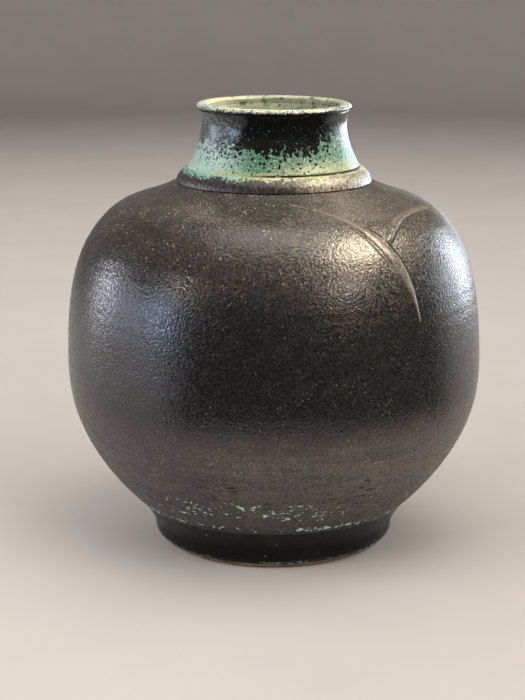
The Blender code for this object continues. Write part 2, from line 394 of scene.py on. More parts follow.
def seat(piece: Object, node: str, slot: Slot, *finishes: Material) -> None:
    """Gives a piece its finishes, makes it stand for a CAD node, and reports it.

    Args:
        piece: The finished mesh.
        node: The CAD node that it replaces.
        slot: The record's material slot of its finish.
        finishes: Its materials, in the order of its faces' material indices.
    """
    for finish in finishes:
        piece.data.materials.append(finish)
    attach(piece, "root")
    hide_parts(node)
    LOG.info("%s: %d faces, slot %s", piece.name, len(piece.data.polygons), slot.value)


# ---- node trees ----


class Tree:
    """Short ways to add and join the nodes of a material."""

    # A mix node's sockets for its two colours and for its result.
    mix_low, mix_high, mix_result = 6, 7, 2

    def __init__(self, name: str) -> None:
        """Starts a material with one Principled shader, and no other nodes.

        Args:
            name: Name of the material.
        """
        self.material = bpy.data.materials.new(name)
        self.material.use_nodes = True
        self.nodes = self.material.node_tree.nodes
        self.links = self.material.node_tree.links
        self.nodes.clear()
        self.shader = self.nodes.new("ShaderNodeBsdfPrincipled")
        output = self.nodes.new("ShaderNodeOutputMaterial")
        self.links.new(self.shader.outputs["BSDF"], output.inputs["Surface"])
        self.place = self.nodes.new("ShaderNodeTexCoord").outputs["Object"]
        split = self.nodes.new("ShaderNodeSeparateXYZ")
        self.links.new(self.place, split.inputs["Vector"])
        self.x, self.y, self.z = split.outputs

    def feed(self, socket: Socket, value: Value | Tint) -> None:
        """Links a socket to another, or sets its value.

        Args:
            socket: The socket that is fed.
            value: A socket, a number or a colour.
        """
        if isinstance(value, Socket):
            self.links.new(value, socket)
        elif isinstance(value, tuple) and len(socket.default_value) == 4:
            socket.default_value = (*value, 1.0)
        else:
            socket.default_value = value

    def math(self, operation: str, first: Value, second: Value = 0.0) -> Socket:
        """The result of one sum of two values.

        Args:
            operation: Name of the sum, such as MULTIPLY.
            first: Its first value.
            second: Its second value.

        Returns:
            The socket that holds it.
        """
        node = self.nodes.new("ShaderNodeMath")
        node.operation = operation
        self.feed(node.inputs[0], first)
        self.feed(node.inputs[1], second)
        return node.outputs[0]

    def vector_math(self, operation: str, first: Socket, second: Tint | None = None) -> Socket:
        """The result of one sum of vectors.

        Args:
            operation: Name of the sum.
            first: Its first vector.
            second: Its second vector, where it has one.

        Returns:
            The socket that holds it.
        """
        node = self.nodes.new("ShaderNodeVectorMath")
        node.operation = operation
        self.links.new(first, node.inputs[0])
        if second is not None:
            self.feed(node.inputs[1], second)
        return node.outputs[0]

    def product(self, *values: Value) -> Socket:
        """Several values multiplied.

        Args:
            values: Two values or more.

        Returns:
            Their product.
        """
        result = values[0]
        for value in values[1:]:
            result = self.math("MULTIPLY", result, value)
        return result

    def total(self, *values: Value) -> Socket:
        """Several values added.

        Args:
            values: Two values or more.

        Returns:
            Their total.
        """
        result = values[0]
        for value in values[1:]:
            result = self.math("ADD", result, value)
        return result

    def less(self, first: Value, second: Value) -> Socket:
        """The first value less the second."""
        return self.math("SUBTRACT", first, second)

    def step(self, value: Value, start: Value, end: Value, low: float = 0.0, high: float = 1.0) -> Socket:
        """A value eased from low to high as another goes from start to end.

        Args:
            value: What is measured.
            start: Where the result is low.
            end: Where it is high, above or below start.
            low: First result.
            high: Last result.

        Returns:
            The eased value.
        """
        node = self.nodes.new("ShaderNodeMapRange")
        node.interpolation_type = "SMOOTHSTEP"
        for name, setting in zip(("Value", "From Min", "From Max", "To Min", "To Max"),
                                 (value, start, end, low, high)):
            self.feed(node.inputs[name], setting)
        return node.outputs["Result"]

    def band(self, value: Value, middle: Value, half: float, soft: float) -> Socket:
        """1 within half of middle, falling to 0 over soft on both sides."""
        away = self.math("ABSOLUTE", self.less(value, middle))
        return self.step(away, half + soft, half)

    def belt(self, level: float, belt: Belt) -> Socket:
        """1 in a level belt whose height is counted from a level, fading to 0 above and below it."""
        return self.band(self.z, level + belt[0], *belt[1:])

    def stretch(self, x: float, y: float, z: float) -> Socket:
        """The piece's coordinates, each multiplied.

        Args:
            x: What x is multiplied by.
            y: What y is multiplied by.
            z: What z is multiplied by.

        Returns:
            The vector.
        """
        return self.vector_math("MULTIPLY", self.place, (x, y, z))

    def shifted(self, vector: Socket, pitch: float, strength: float) -> Socket:
        """A vector that strays, so that a pattern laid on it gets ragged edges.

        Args:
            vector: The vector.
            pitch: Size of the noise that moves it.
            strength: How far it strays.

        Returns:
            The moved vector.
        """
        stray = self.noise_node(pitch, 2.0, 0.6, 1.0, None).outputs["Color"]
        centred = self.vector_math("SUBTRACT", stray, (0.5, 0.5, 0.5))
        scaled = self.vector_math("SCALE", centred)
        scaled.node.inputs["Scale"].default_value = strength
        return self.vector_math("ADD", vector, scaled)

    def noise_node(self, pitch: float, detail: float, rough: float, squash: float,
                   vector: Socket | None) -> bpy.types.Node:
        """A noise node.

        Args:
            pitch: Size of its patches.
            detail: Octaves of finer noise.
            rough: Strength of the finer noise.
            squash: How much flatter than wide its patches are.
            vector: Coordinates to use in place of the piece's.

        Returns:
            The node.
        """
        node = self.nodes.new("ShaderNodeTexNoise")
        self.links.new(vector or self.stretch(1, 1, squash), node.inputs["Vector"])
        node.inputs["Scale"].default_value = 1 / pitch
        node.inputs["Detail"].default_value = detail
        node.inputs["Roughness"].default_value = rough
        return node

    def noise(self, pitch: float, detail: float = 2.0, rough: float = 0.5, squash: float = 1.0,
              vector: Socket | None = None) -> Socket:
        """The value of a noise, mostly from 0.25 to 0.75; noise_node says what each setting does."""
        return self.noise_node(pitch, detail, rough, squash, vector).outputs[0]

    def drift(self, amount: float, pitch: float, detail: float = 2.0, rough: float = 0.5) -> Socket:
        """A noise about 0, times amount; noise_node says what the other settings do."""
        return self.product(self.less(self.noise(pitch, detail, rough), 0.5), amount)

    def cells(self, pitch: float, feature: str = "F1", vector: Socket | None = None) -> Socket:
        """The distance output of a Voronoi pattern, in pitches.

        Args:
            pitch: Size of its cells.
            feature: Which distance is given.
            vector: Coordinates to use in place of the piece's.

        Returns:
            The distance.
        """
        node = self.nodes.new("ShaderNodeTexVoronoi")
        node.feature = feature
        self.links.new(vector or self.stretch(1, 1, 1), node.inputs["Vector"])
        node.inputs["Scale"].default_value = 1 / pitch
        return node.outputs["Distance"]

    def mix(self, amount: Value, low: Tint, high: Tint) -> Socket:
        """A colour between two.

        Args:
            amount: 0 gives the first, 1 the second.
            low: First colour.
            high: Second colour.

        Returns:
            The mixed colour.
        """
        node = self.nodes.new("ShaderNodeMix")
        node.data_type = "RGBA"
        self.feed(node.inputs[0], amount)
        self.feed(node.inputs[self.mix_low], low)
        self.feed(node.inputs[self.mix_high], high)
        return node.outputs[self.mix_result]

    def towards(self, azimuth: float, inner: float, outer: float) -> Socket:
        """1 on the side that faces an azimuth, easing to 0 away from it.

        Args:
            azimuth: That azimuth, in degrees.
            inner: Cosine of the angle away from it where the value is 1.
            outer: Cosine of the angle where it is 0.

        Returns:
            The value.
        """
        angle = math.radians(azimuth)
        never_zero = 1e-9
        facing = self.total(self.product(self.x, math.cos(angle)), self.product(self.y, math.sin(angle)))
        square = self.total(self.product(self.x, self.x), self.product(self.y, self.y), never_zero)
        cosine = self.math("DIVIDE", facing, self.math("SQRT", square))
        return self.step(cosine, outer, inner)

    def attribute(self, name: str) -> Socket:
        """A value stored on the mesh's points.

        Args:
            name: Its name.

        Returns:
            The value.
        """
        node = self.nodes.new("ShaderNodeAttribute")
        node.attribute_name = name
        return node.outputs["Fac"]

    def bump(self, height: Value, depth: float, under: Socket | None = None) -> Socket:
        """A bumped normal.

        Args:
            height: Height from 0 to 1.
            depth: What a height of 1 measures.
            under: A normal that this bump lies on.

        Returns:
            The normal.
        """
        node = self.nodes.new("ShaderNodeBump")
        node.inputs["Strength"].default_value = 1.0
        node.inputs["Distance"].default_value = depth
        self.feed(node.inputs["Height"], height)
        if under is not None:
            self.links.new(under, node.inputs["Normal"])
        return node.outputs["Normal"]

    def dress(self, colour: Tint, roughness: Value, normal: Socket,
              gloss: float = 0.5) -> Material:
        """Joins the finish to the shader.

        Args:
            colour: Base colour.
            roughness: Roughness.
            normal: Bumped normal.
            gloss: Specular level.

        Returns:
            The material.
        """
        self.feed(self.shader.inputs["Base Color"], colour)
        self.feed(self.shader.inputs["Roughness"], roughness)
        self.shader.inputs["Specular IOR Level"].default_value = gloss
        self.links.new(normal, self.shader.inputs["Normal"])
        return self.material


# ---- finishes ----


@dataclass(frozen=True)
class BodyGlaze:
    """The black glaze of the body: satin above, thinner and matte below, with green flecks near the foot.

    Attributes:
        satin: Thick black glaze, brown where it is thinner on the shoulder.
        matte: Thin grey-brown glaze low on the body.
        plum: A stain on the lower left.
        mint: Most of the flecks; the others, and the specks, are pale.
        grain: Sand that shows through.
        dark: Pits and drags, and painted shade in the incised lines and along the ridges' right edges.
        matte_top: Height where the glaze starts to turn matte, going down.
        matte_full: Height where it is all matte.
        shoulder: Depths under the mouth where the shoulder's glaze starts to thin and is thinnest.
        near_foot: Heights over the foot where the glaze starts to thicken and is thickest.
        hem: Heights over the foot between which the foot's glaze ends.
        fleck_belt: The flecks' broken belt, over the foot; fleck_line is their line below it.
        fleck_side: Where the belt is thickest.
        fleck_limit: Noise over which a fleck lies, where nothing asks for more.
        gouge_belt: Where the turning tool dragged grit, most of it on gouge_side.
        peel_pitch: Size of the orange peel's domes, peel_depth high.
        gloss: Specular level.
    """

    satin: Colour = (0.0095, 0.0095, 0.0092)
    brown: Colour = (0.027, 0.021, 0.016)
    matte: Colour = (0.088, 0.070, 0.065)
    plum: Colour = (0.034, 0.022, 0.023)
    mint: Colour = (0.52, 0.78, 0.60)
    pale: Colour = (0.56, 0.51, 0.43)
    grain: Colour = (0.150, 0.125, 0.098)
    dark: Colour = (0.006, 0.005, 0.005)
    matte_top: float = 0.104
    matte_full: float = 0.070
    shoulder: tuple[float, float] = (62 * MM, 8 * MM)
    near_foot: tuple[float, float] = (42 * MM, 8 * MM)
    hem: tuple[float, float] = (7.5 * MM, 0.5 * MM)
    fleck_belt: Belt = (18 * MM, 3 * MM, 6 * MM)
    fleck_line: Belt = (3.4 * MM, 0.8 * MM, 1.8 * MM)
    fleck_side: Facing = (-94, 0.97, 0.78)
    fleck_limit: float = 0.716
    gouge_belt: Belt = (26 * MM, 9 * MM, 12 * MM)
    gouge_side: Facing = (-62, 0.9, 0.3)
    stain_side: Facing = (-138, 0.97, 0.74)
    peel_pitch: float = 1.30 * MM
    peel_depth: float = 0.21 * MM
    mark_depth: float = 0.05 * MM
    fleck_depth: float = 0.12 * MM
    gloss: float = 0.75

    def peel(self, tree: Tree) -> Socket:
        """The orange-peel surface: small soft domes with pits between them."""
        domes, pits = tree.cells(self.peel_pitch, "SMOOTH_F1"), tree.noise(self.peel_pitch * 0.6, 1.5)
        return tree.total(tree.product(domes, -0.95), tree.product(pits, 0.40))

    def specks(self, tree: Tree) -> Socket:
        """Tiny pale specks, most of them in crowds.

        Args:
            tree: Its nodes.

        Returns:
            1 on a speck, 0 elsewhere.
        """
        crowd = tree.step(tree.noise(14 * MM, 3.0), 0.42, 0.60)
        crowded = tree.product(tree.step(tree.cells(2.7 * MM), 0.19, 0.10), crowd)
        lone = tree.step(tree.cells(25.0 * MM), 0.030, 0.023)
        return tree.math("MAXIMUM", crowded, lone)

    def flecks(self, tree: Tree, foot_top: float) -> Socket:
        """Ragged green flecks, drawn out level, in a belt low down and in a line above the foot.

        Args:
            tree: Its nodes.
            foot_top: Height of the body's lower edge.

        Returns:
            1 on a fleck, 0 elsewhere.
        """
        ragged = tree.shifted(tree.stretch(1, 1, 1.7), 2.0 * MM, 3.4 * MM)
        patches = tree.noise(3.2 * MM, 2.0, 0.55, vector=ragged)
        belt = tree.belt(foot_top, self.fleck_belt)
        line = tree.belt(foot_top, self.fleck_line)
        wanted = tree.total(tree.product(belt, tree.towards(*self.fleck_side), 0.100),
                            tree.product(line, 0.150), tree.drift(0.38, 16 * MM))
        over = tree.less(patches, tree.less(self.fleck_limit, wanted))
        reach = tree.step(tree.math("MAXIMUM", belt, line), 0.02, 0.3)
        return tree.product(tree.step(over, 0.0, 0.015), reach)

    def gouges(self, tree: Tree, foot_top: float) -> Socket:
        """Short level drags left by grit under the turning tool.

        Args:
            tree: Its nodes.
            foot_top: Height of the body's lower edge.

        Returns:
            1 in a drag, 0 elsewhere.
        """
        patches = tree.noise(6.5 * MM, 1.0, 0.4, squash=7.0)
        belt = tree.belt(foot_top, self.gouge_belt)
        crowd = tree.total(tree.noise(18 * MM, 1.0), tree.product(tree.towards(*self.gouge_side), 0.10))
        return tree.product(tree.step(patches, 0.645, 0.68), belt, tree.step(crowd, 0.50, 0.62))

    def grains(self, tree: Tree) -> Socket:
        """Fine pale grain, as the glaze crawls thin over the clay's sand."""
        thin = tree.total(tree.noise(1.15 * MM, 2.0, 0.65), tree.drift(0.35, 9 * MM, 3.0, 0.6))
        return tree.step(thin, 0.53, 0.66)

    def marks(self, tree: Tree) -> Socket:
        """Level turning marks, close together and uneven."""
        return tree.total(tree.product(tree.noise(60 * MM, 3.0, 0.6, squash=30.0), 0.6),
                          tree.product(tree.noise(36 * MM, 3.0, 0.7, squash=60.0), 0.4))

    def ground(self, tree: Tree, lower: Socket, shoulder: Socket, mottle: Socket, marks: Socket) -> Socket:
        """The glaze's own colour: brown on the shoulder, matte low down, streaked and stained.

        Args:
            tree: Its nodes.
            lower: 1 where the glaze is matte.
            shoulder: 1 high on the shoulder.
            mottle: A noise of soft clouds.
            marks: The turning marks.

        Returns:
            The colour.
        """
        brown = tree.product(shoulder, tree.step(mottle, 0.3, 0.65, 0.7, 1.0))
        colour = tree.mix(brown, self.satin, self.brown)
        matte = tree.product(lower, tree.step(marks, 0.36, 0.62, 0.50, 1.0))
        colour = tree.mix(matte, colour, self.matte)
        streaks = tree.step(tree.noise(75 * MM, 3.0, 0.6, squash=11.0), 0.47, 0.60, 0.0, 0.42)
        share = tree.total(0.35, tree.product(lower, 0.65))
        colour = tree.mix(tree.product(streaks, share), colour, self.satin)
        clouds = tree.step(tree.noise(34 * MM, 3.0), 0.36, 0.58, 0.4, 0.95)
        stain = tree.product(tree.towards(*self.stain_side), clouds, lower)
        return tree.mix(stain, colour, self.plum)

    def speckled(self, tree: Tree, colour: Socket, lower: Socket, shoulder: Socket) -> Socket:
        """The colour with dark pits, pale grain and specks over it.

        Args:
            tree: Its nodes.
            colour: The colour so far.
            lower: 1 where the glaze is matte.
            shoulder: 1 high on the shoulder.

        Returns:
            The colour.
        """
        pits = tree.step(tree.noise(1.5 * MM, 2.0), 0.54, 0.63)
        share = tree.total(0.72, tree.product(lower, 0.2))
        colour = tree.mix(tree.product(pits, share), colour, self.dark)
        share = tree.total(tree.product(shoulder, 0.45), 0.10, tree.product(lower, 0.58))
        colour = tree.mix(tree.product(self.grains(tree), share), colour, self.grain)
        share = tree.total(0.22, tree.product(shoulder, 0.66), tree.product(lower, 0.24))
        return tree.mix(tree.product(self.specks(tree), share), colour, self.pale)

    def build(self, foot_top: float, mouth: float) -> Material:
        """Makes the material.

        Args:
            foot_top: Height of the body's lower edge.
            mouth: Height of the mouth.

        Returns:
            The material.
        """
        tree = Tree("body_glaze")
        ragged = tree.total(tree.z, tree.drift(18 * MM, 30 * MM, 3.0))
        lower = tree.step(ragged, self.matte_top, self.matte_full)
        shoulder = tree.step(tree.z, mouth - self.shoulder[0], mouth - self.shoulder[1])
        mottle = tree.noise(8 * MM, 4.0, 0.6)
        marks = self.marks(tree)
        flecks = self.flecks(tree, foot_top)
        gouges = self.gouges(tree, foot_top)
        incised = tree.attribute("incised")
        ragged = tree.total(tree.z, tree.drift(4 * MM, 6 * MM, 3.0))
        hem = tree.step(ragged, foot_top + self.hem[0], foot_top + self.hem[1])
        thick = tree.step(tree.z, foot_top + self.near_foot[0], foot_top + self.near_foot[1], 0.0, 0.72)

        colour = self.ground(tree, lower, shoulder, mottle, marks)
        colour = tree.mix(thick, colour, self.satin)
        colour = self.speckled(tree, colour, lower, shoulder)
        colour = tree.mix(hem, colour, FootGlaze().black)
        green = tree.mix(tree.step(tree.noise(5 * MM, 2.0), 0.3, 0.5), self.pale, self.mint)
        colour = tree.mix(flecks, colour, green)
        # Painted shade: the incised lines are coloured dark as if they were in shadow, together with the
        # dark drags.
        cut = tree.math("MAXIMUM", gouges, tree.product(incised, 0.95))
        colour = tree.mix(cut, colour, self.dark)

        grit = tree.step(tree.noise(1.2 * MM, 1.5), 0.38, 0.62, -0.09, 0.15)
        worn = tree.math("MAXIMUM", gouges, incised)
        rough = tree.total(tree.step(mottle, 0.25, 0.75, 0.22, 0.28), grit, tree.product(lower, 0.18),
                           tree.product(hem, -0.17), tree.product(flecks, 0.1), tree.product(worn, 0.58))
        normal = tree.bump(tree.product(marks, lower), self.mark_depth)
        peel = tree.product(self.peel(tree), tree.step(lower, 0.0, 1.0, 1.0, 1.80))
        normal = tree.bump(peel, self.peel_depth, normal)
        normal = tree.bump(tree.less(flecks, tree.product(gouges, 3.0)), self.fleck_depth, normal)
        return tree.dress(colour, rough, normal, self.gloss)


@dataclass(frozen=True)
class RidgeGlaze:
    """The black glaze on the ridges, thin and brown along their crests."""

    satin: Colour = (0.031, 0.026, 0.020)
    crest: Colour = (0.185, 0.148, 0.100)

    def build(self) -> Material:
        """Makes the material.

        Returns:
            The material.
        """
        tree = Tree("ridge_glaze")
        body = BodyGlaze()
        # Painted shade: the ridges' right edges and undersides are drawn dark and rough, as if turned away
        # from the light.
        crease_shade = tree.attribute("crease_shade")
        patchy = tree.step(tree.noise(3 * MM, 3.0), 0.3, 0.6, 0.5, 1.0)
        # Pale crests: the glaze thin on the edges, and on the branch also a painted highlight on its band.
        colour = tree.mix(tree.product(tree.attribute("crest"), patchy), self.satin, self.crest)
        pits = tree.step(tree.noise(1.4 * MM, 2.0), 0.54, 0.63, 0.0, 0.4)
        colour = tree.mix(tree.math("MAXIMUM", crease_shade, pits), colour, body.dark)
        grit = tree.step(tree.noise(1.25 * MM, 1.5), 0.36, 0.64, 0.25, 0.43)
        rough = tree.total(grit, tree.product(crease_shade, 0.48))
        return tree.dress(colour, rough, tree.bump(body.peel(tree), body.peel_depth * 0.75), body.gloss)


@dataclass(frozen=True)
class BareClay:
    """Unglazed iron-brown stoneware, with grit and turning marks."""

    clay: Colour = (0.42, 0.25, 0.145)
    scorched: Colour = (0.24, 0.135, 0.080)
    grit: Colour = (0.50, 0.36, 0.22)
    grit_depth: float = 0.15 * MM

    def colour(self, tree: Tree) -> Socket:
        """Its mottled colour."""
        base = tree.mix(tree.step(tree.noise(9 * MM, 4.0, 0.65), 0.3, 0.7), self.clay, self.scorched)
        return tree.mix(tree.step(tree.cells(1.5 * MM), 0.20, 0.10, 0.0, 0.6), base, self.grit)

    def build(self) -> Material:
        """Makes the material.

        Returns:
            The material.
        """
        tree = Tree("bare_clay")
        rough = tree.step(tree.noise(3 * MM), 0.3, 0.7, 0.72, 0.9)
        normal = tree.bump(tree.noise(0.7 * MM, 3.0, 0.7), self.grit_depth)
        return tree.dress(self.colour(tree), rough, normal)


@dataclass(frozen=True)
class FootGlaze:
    """Thick glossy black on the foot, ending in a pale broken line over a bare clay edge.

    Attributes:
        black: The glaze.
        warm: Its browner clouds.
        line: The pale line and the pale drops.
        clay_top: Height of the bare clay edge.
        pale_line: The pale line, over the ground.
        gloss: Specular level.
    """

    black: Colour = (0.0028, 0.0028, 0.0028)
    warm: Colour = (0.008, 0.0065, 0.0055)
    line: Colour = (0.27, 0.43, 0.37)
    clay_top: float = 2.9 * MM
    pale_line: Belt = (4.4 * MM, 0.5 * MM, 0.8 * MM)
    gloss: float = 0.18

    def build(self) -> Material:
        """Makes the material.

        Returns:
            The material.
        """
        tree = Tree("foot_glaze")
        level = tree.total(tree.z, tree.drift(2.6 * MM, 16 * MM, 3.0))
        bare = tree.step(level, self.clay_top + 0.5 * MM, self.clay_top - 0.1 * MM)
        patch = tree.step(tree.noise(3.0 * MM, 3.0, 0.7, squash=2.0), 0.47, 0.55)
        stretches = tree.step(tree.noise(34 * MM, 2.0), 0.42, 0.55)
        pale = tree.product(tree.band(level, *self.pale_line), patch, stretches)
        crowd = tree.step(tree.noise(20 * MM), 0.5, 0.6)
        drops = tree.product(tree.step(tree.cells(7 * MM), 0.10, 0.06), crowd)
        colour = tree.mix(tree.step(tree.noise(12 * MM, 3.0), 0.4, 0.7), self.black, self.warm)
        colour = tree.mix(tree.math("MAXIMUM", pale, drops), colour, self.line)
        colour = tree.mix(bare, colour, BareClay().colour(tree))
        rough = tree.total(tree.step(tree.noise(9 * MM, 3.0), 0.3, 0.7, 0.24, 0.36),
                           tree.product(bare, 0.45))
        normal = tree.bump(tree.noise(50 * MM, 3.0, 0.6, squash=30.0), 0.04 * MM)
        normal = tree.bump(tree.noise(1.4 * MM, 2.0), 0.05 * MM, normal)
        normal = tree.bump(bare, -0.35 * MM, normal)
        return tree.dress(colour, rough, normal, self.gloss)


@dataclass(frozen=True)
class CollarGlaze:
    """Satin brown-black on the collar, with the neck's pale glaze run over its upper edge.

    Attributes:
        black: The glaze.
        brown: Its thin streaks and worn edge.
        fringe: The neck's glaze that ran over it, mint on mint_side.
        tan_and_highlight: Where it is thinnest, on thin_and_highlight_side, and a painted golden highlight
            on that side.
        worn_edge: The worn line, over the collar's lower edge.
        gloss: Specular level.
    """

    black: Colour = (0.018, 0.015, 0.014)
    brown: Colour = (0.080, 0.066, 0.052)
    fringe: Colour = (0.42, 0.43, 0.22)
    mint: Colour = (0.20, 0.38, 0.29)
    tan_and_highlight: Colour = (0.36, 0.31, 0.21)
    worn_edge: Belt = (0.3 * MM, 0.15 * MM, 0.5 * MM)
    thin_and_highlight_side: Facing = (-44, 0.97, 0.80)
    mint_side: Facing = (-160, 0.9, 0.35)
    gloss: float = 0.8

    def build(self, bottom: float, top: float) -> Material:
        """Makes the material.

        Args:
            bottom: Height of the collar's lower edge.
            top: Height of its upper edge.

        Returns:
            The material.
        """
        tree = Tree("collar_glaze")
        streaks = tree.noise(1.3 * MM, 3.0, 0.6, squash=0.25)
        runs = tree.noise(1.5 * MM, 3.0, 0.65, squash=0.35)
        reach = tree.step(tree.noise(13 * MM, 2.0), 0.35, 0.65, 0.5 * MM, 2.4 * MM)
        edge = tree.less(top, tree.product(reach, tree.step(runs, 0.3, 0.68, 0.0, 1.7)))
        fringe = tree.step(tree.less(tree.z, edge), -0.25 * MM, 0.15 * MM)
        colour = tree.mix(tree.step(streaks, 0.46, 0.68), self.black, self.brown)
        # Painted highlight: the tan on the right front stands partly for the glaze thinning there and
        # partly for the golden light that falls on it.
        thin = tree.product(tree.towards(*self.thin_and_highlight_side), tree.step(streaks, 0.36, 0.52), 0.75)
        colour = tree.mix(thin, colour, self.tan_and_highlight)
        colour = tree.mix(fringe, colour, tree.mix(tree.towards(*self.mint_side), self.fringe, self.mint))
        patchy = tree.step(tree.noise(4 * MM, 3.0), 0.45, 0.6, 0.0, 0.6)
        colour = tree.mix(tree.product(tree.belt(bottom, self.worn_edge), patchy), colour, self.brown)
        rough = tree.total(tree.step(tree.noise(4 * MM, 3.0), 0.3, 0.7, 0.27, 0.36),
                           tree.step(tree.noise(1.1 * MM, 1.0, squash=0.5), 0.35, 0.65, -0.07, 0.12))
        normal = tree.bump(tree.noise(1.1 * MM, 2.0, 0.6, squash=0.4), 0.40 * MM)
        normal = tree.bump(fringe, 0.10 * MM, normal)
        return tree.dress(colour, rough, normal, self.gloss)


@dataclass(frozen=True)
class CopperGlaze:
    """Copper green over black: black dots that grow and run together into solid black above.

    Attributes:
        mint: The green where it is pale, with frost for its palest grain.
        green: The green where it is deep.
        straw: Yellower glaze low on the right and along the lower edge.
        slate: Grey-green strays in the black.
        black: The dots and the solid black.
        dot_pitch: Size of the dots' pattern.
        seam_height: How far the open seam at the collar reaches up.
        pale_side: Where the green is pale.
        net_side: Where green shows through the black up to the lip.
        stray_side: Where strays crowd on the left.
        straw_side: Where the glaze is yellower, as its lower edge is on hem_side.
        seam_side: Where the seam is open.
        dull_left: Where it is less glossy, as it is on dull_right.
    """

    mint: Colour = (0.36, 0.55, 0.45)
    frost: Colour = (0.52, 0.62, 0.56)
    green: Colour = (0.076, 0.188, 0.112)
    straw: Colour = (0.44, 0.41, 0.19)
    slate: Colour = (0.175, 0.250, 0.245)
    black: Colour = (0.0055, 0.0060, 0.0060)
    dot_pitch: float = 2.9 * MM
    seam_height: float = 0.9 * MM
    pale_side: Facing = (-162, 0.93, 0.52)
    net_side: Facing = (-37, 0.985, 0.93)
    stray_side: Facing = (-158, 0.90, 0.62)
    straw_side: Facing = (-50, 0.97, 0.62)
    hem_side: Facing = (-75, 0.9, 0.1)
    seam_side: Facing = (-48, 0.80, 0.35)
    dull_left: Facing = (-165, 0.90, 0.55)
    dull_right: Facing = (-12, 0.88, 0.62)

    def dots(self, tree: Tree, cloud: Socket) -> Socket:
        """Large and small ragged dots that grow with the cloud until they join.

        Args:
            tree: Its nodes.
            cloud: How black it gets, mostly from 0 to 1.

        Returns:
            1 in the black, 0 elsewhere.
        """
        ragged = tree.shifted(tree.place, 1.8 * MM, 1.3 * MM)
        large = tree.cells(self.dot_pitch, vector=ragged)
        small = tree.cells(self.dot_pitch * 0.52, vector=ragged)
        size = tree.total(tree.step(cloud, -0.05, 0.30, 0.16, 0.36),
                          tree.step(cloud, 0.24, 0.76, 0.0, 0.72))
        black = tree.step(tree.less(size, large), -0.04, 0.04)
        size = tree.total(tree.step(cloud, -0.05, 0.40, 0.18, 0.33),
                          tree.step(cloud, 0.34, 0.80, 0.0, 0.75))
        return tree.math("MAXIMUM", black, tree.step(tree.less(size, small), -0.06, 0.06))

    def green_colour(self, tree: Tree, rise: Socket, left: Socket, fine: Socket) -> Socket:
        """The colour between the dots.

        Args:
            tree: Its nodes.
            rise: Height from 0 at the neck's lower edge to 1 at its upper one.
            left: 1 where the green is pale.
            fine: A fine noise.

        Returns:
            The colour.
        """
        spread = tree.noise(9 * MM, 3.0, 0.6)
        low_right = tree.product(tree.towards(*self.straw_side), tree.step(rise, 0.30, 0.05))
        hem = tree.product(tree.step(rise, 0.10, 0.02), tree.towards(*self.hem_side))
        pale = tree.mix(tree.step(fine, 0.42, 0.60), self.mint, self.frost)
        paleness = tree.math("MAXIMUM", left, tree.step(spread, 0.50, 0.78, 0.0, 0.5))
        colour = tree.mix(paleness, self.green, pale)
        straw = tree.math("MAXIMUM", tree.product(low_right, 0.75), tree.product(hem, 0.80))
        straw = tree.product(straw, tree.step(spread, 0.25, 0.60, 0.45, 1.0))
        colour = tree.mix(straw, colour, self.straw)
        colour = tree.mix(tree.step(fine, 0.46, 0.38, 0.0, 0.55), colour, self.green)
        veil = tree.step(tree.noise(1.5 * MM, 2.0, 0.6), 0.54, 0.64, 0.0, 0.55)
        return tree.mix(veil, colour, pale)

    def build(self, bottom: float, top: float) -> Material:
        """Makes the material.

        Args:
            bottom: Height of the neck's lower edge.
            top: Height of its upper edge.

        Returns:
            The material.
        """
        tree = Tree("copper_glaze")
        rise = tree.math("DIVIDE", tree.less(tree.z, bottom), top - bottom)
        left = tree.towards(*self.pale_side)
        net = tree.towards(*self.net_side)
        cloud = tree.total(rise, tree.drift(0.50, 11 * MM, 3.0, 0.6), tree.product(net, -0.19),
                           tree.product(left, -0.10), 0.03)
        black = self.dots(tree, cloud)
        fine = tree.noise(1.15 * MM, 2.0, 0.65)
        sides = tree.math("MAXIMUM", tree.towards(*self.stray_side), tree.product(net, 0.45))
        stray = tree.total(fine, tree.product(sides, 0.165), tree.product(tree.less(cloud, 0.8), -0.05))
        strays = tree.step(stray, 0.66, 0.72)
        shown = tree.product(strays, tree.step(cloud, 1.05, 0.70, 0.35, 1.0))
        dark = tree.mix(shown, self.black, tree.mix(net, self.slate, self.green))
        colour = tree.mix(black, self.green_colour(tree, rise, left, fine), dark)
        open_seam = tree.step(tree.z, bottom + self.seam_height, bottom + 0.5 * self.seam_height)
        patchy = tree.step(tree.noise(5 * MM, 2.0), 0.30, 0.45, 0.3, 1.0)
        seam = tree.product(open_seam, tree.towards(*self.seam_side), patchy)
        colour = tree.mix(seam, colour, self.black)
        rough = tree.total(tree.step(black, 0.0, 1.0, 0.27, 0.12), tree.product(strays, 0.08),
                           tree.product(tree.towards(*self.dull_left), 0.16),
                           tree.product(tree.towards(*self.dull_right), 0.12))
        normal = tree.bump(tree.noise(2.4 * MM, 2.0), 0.12 * MM)
        raised = tree.total(tree.product(black, -1.0), tree.product(fine, 0.8))
        normal = tree.bump(raised, 0.06 * MM, normal)
        return tree.dress(colour, rough, normal)


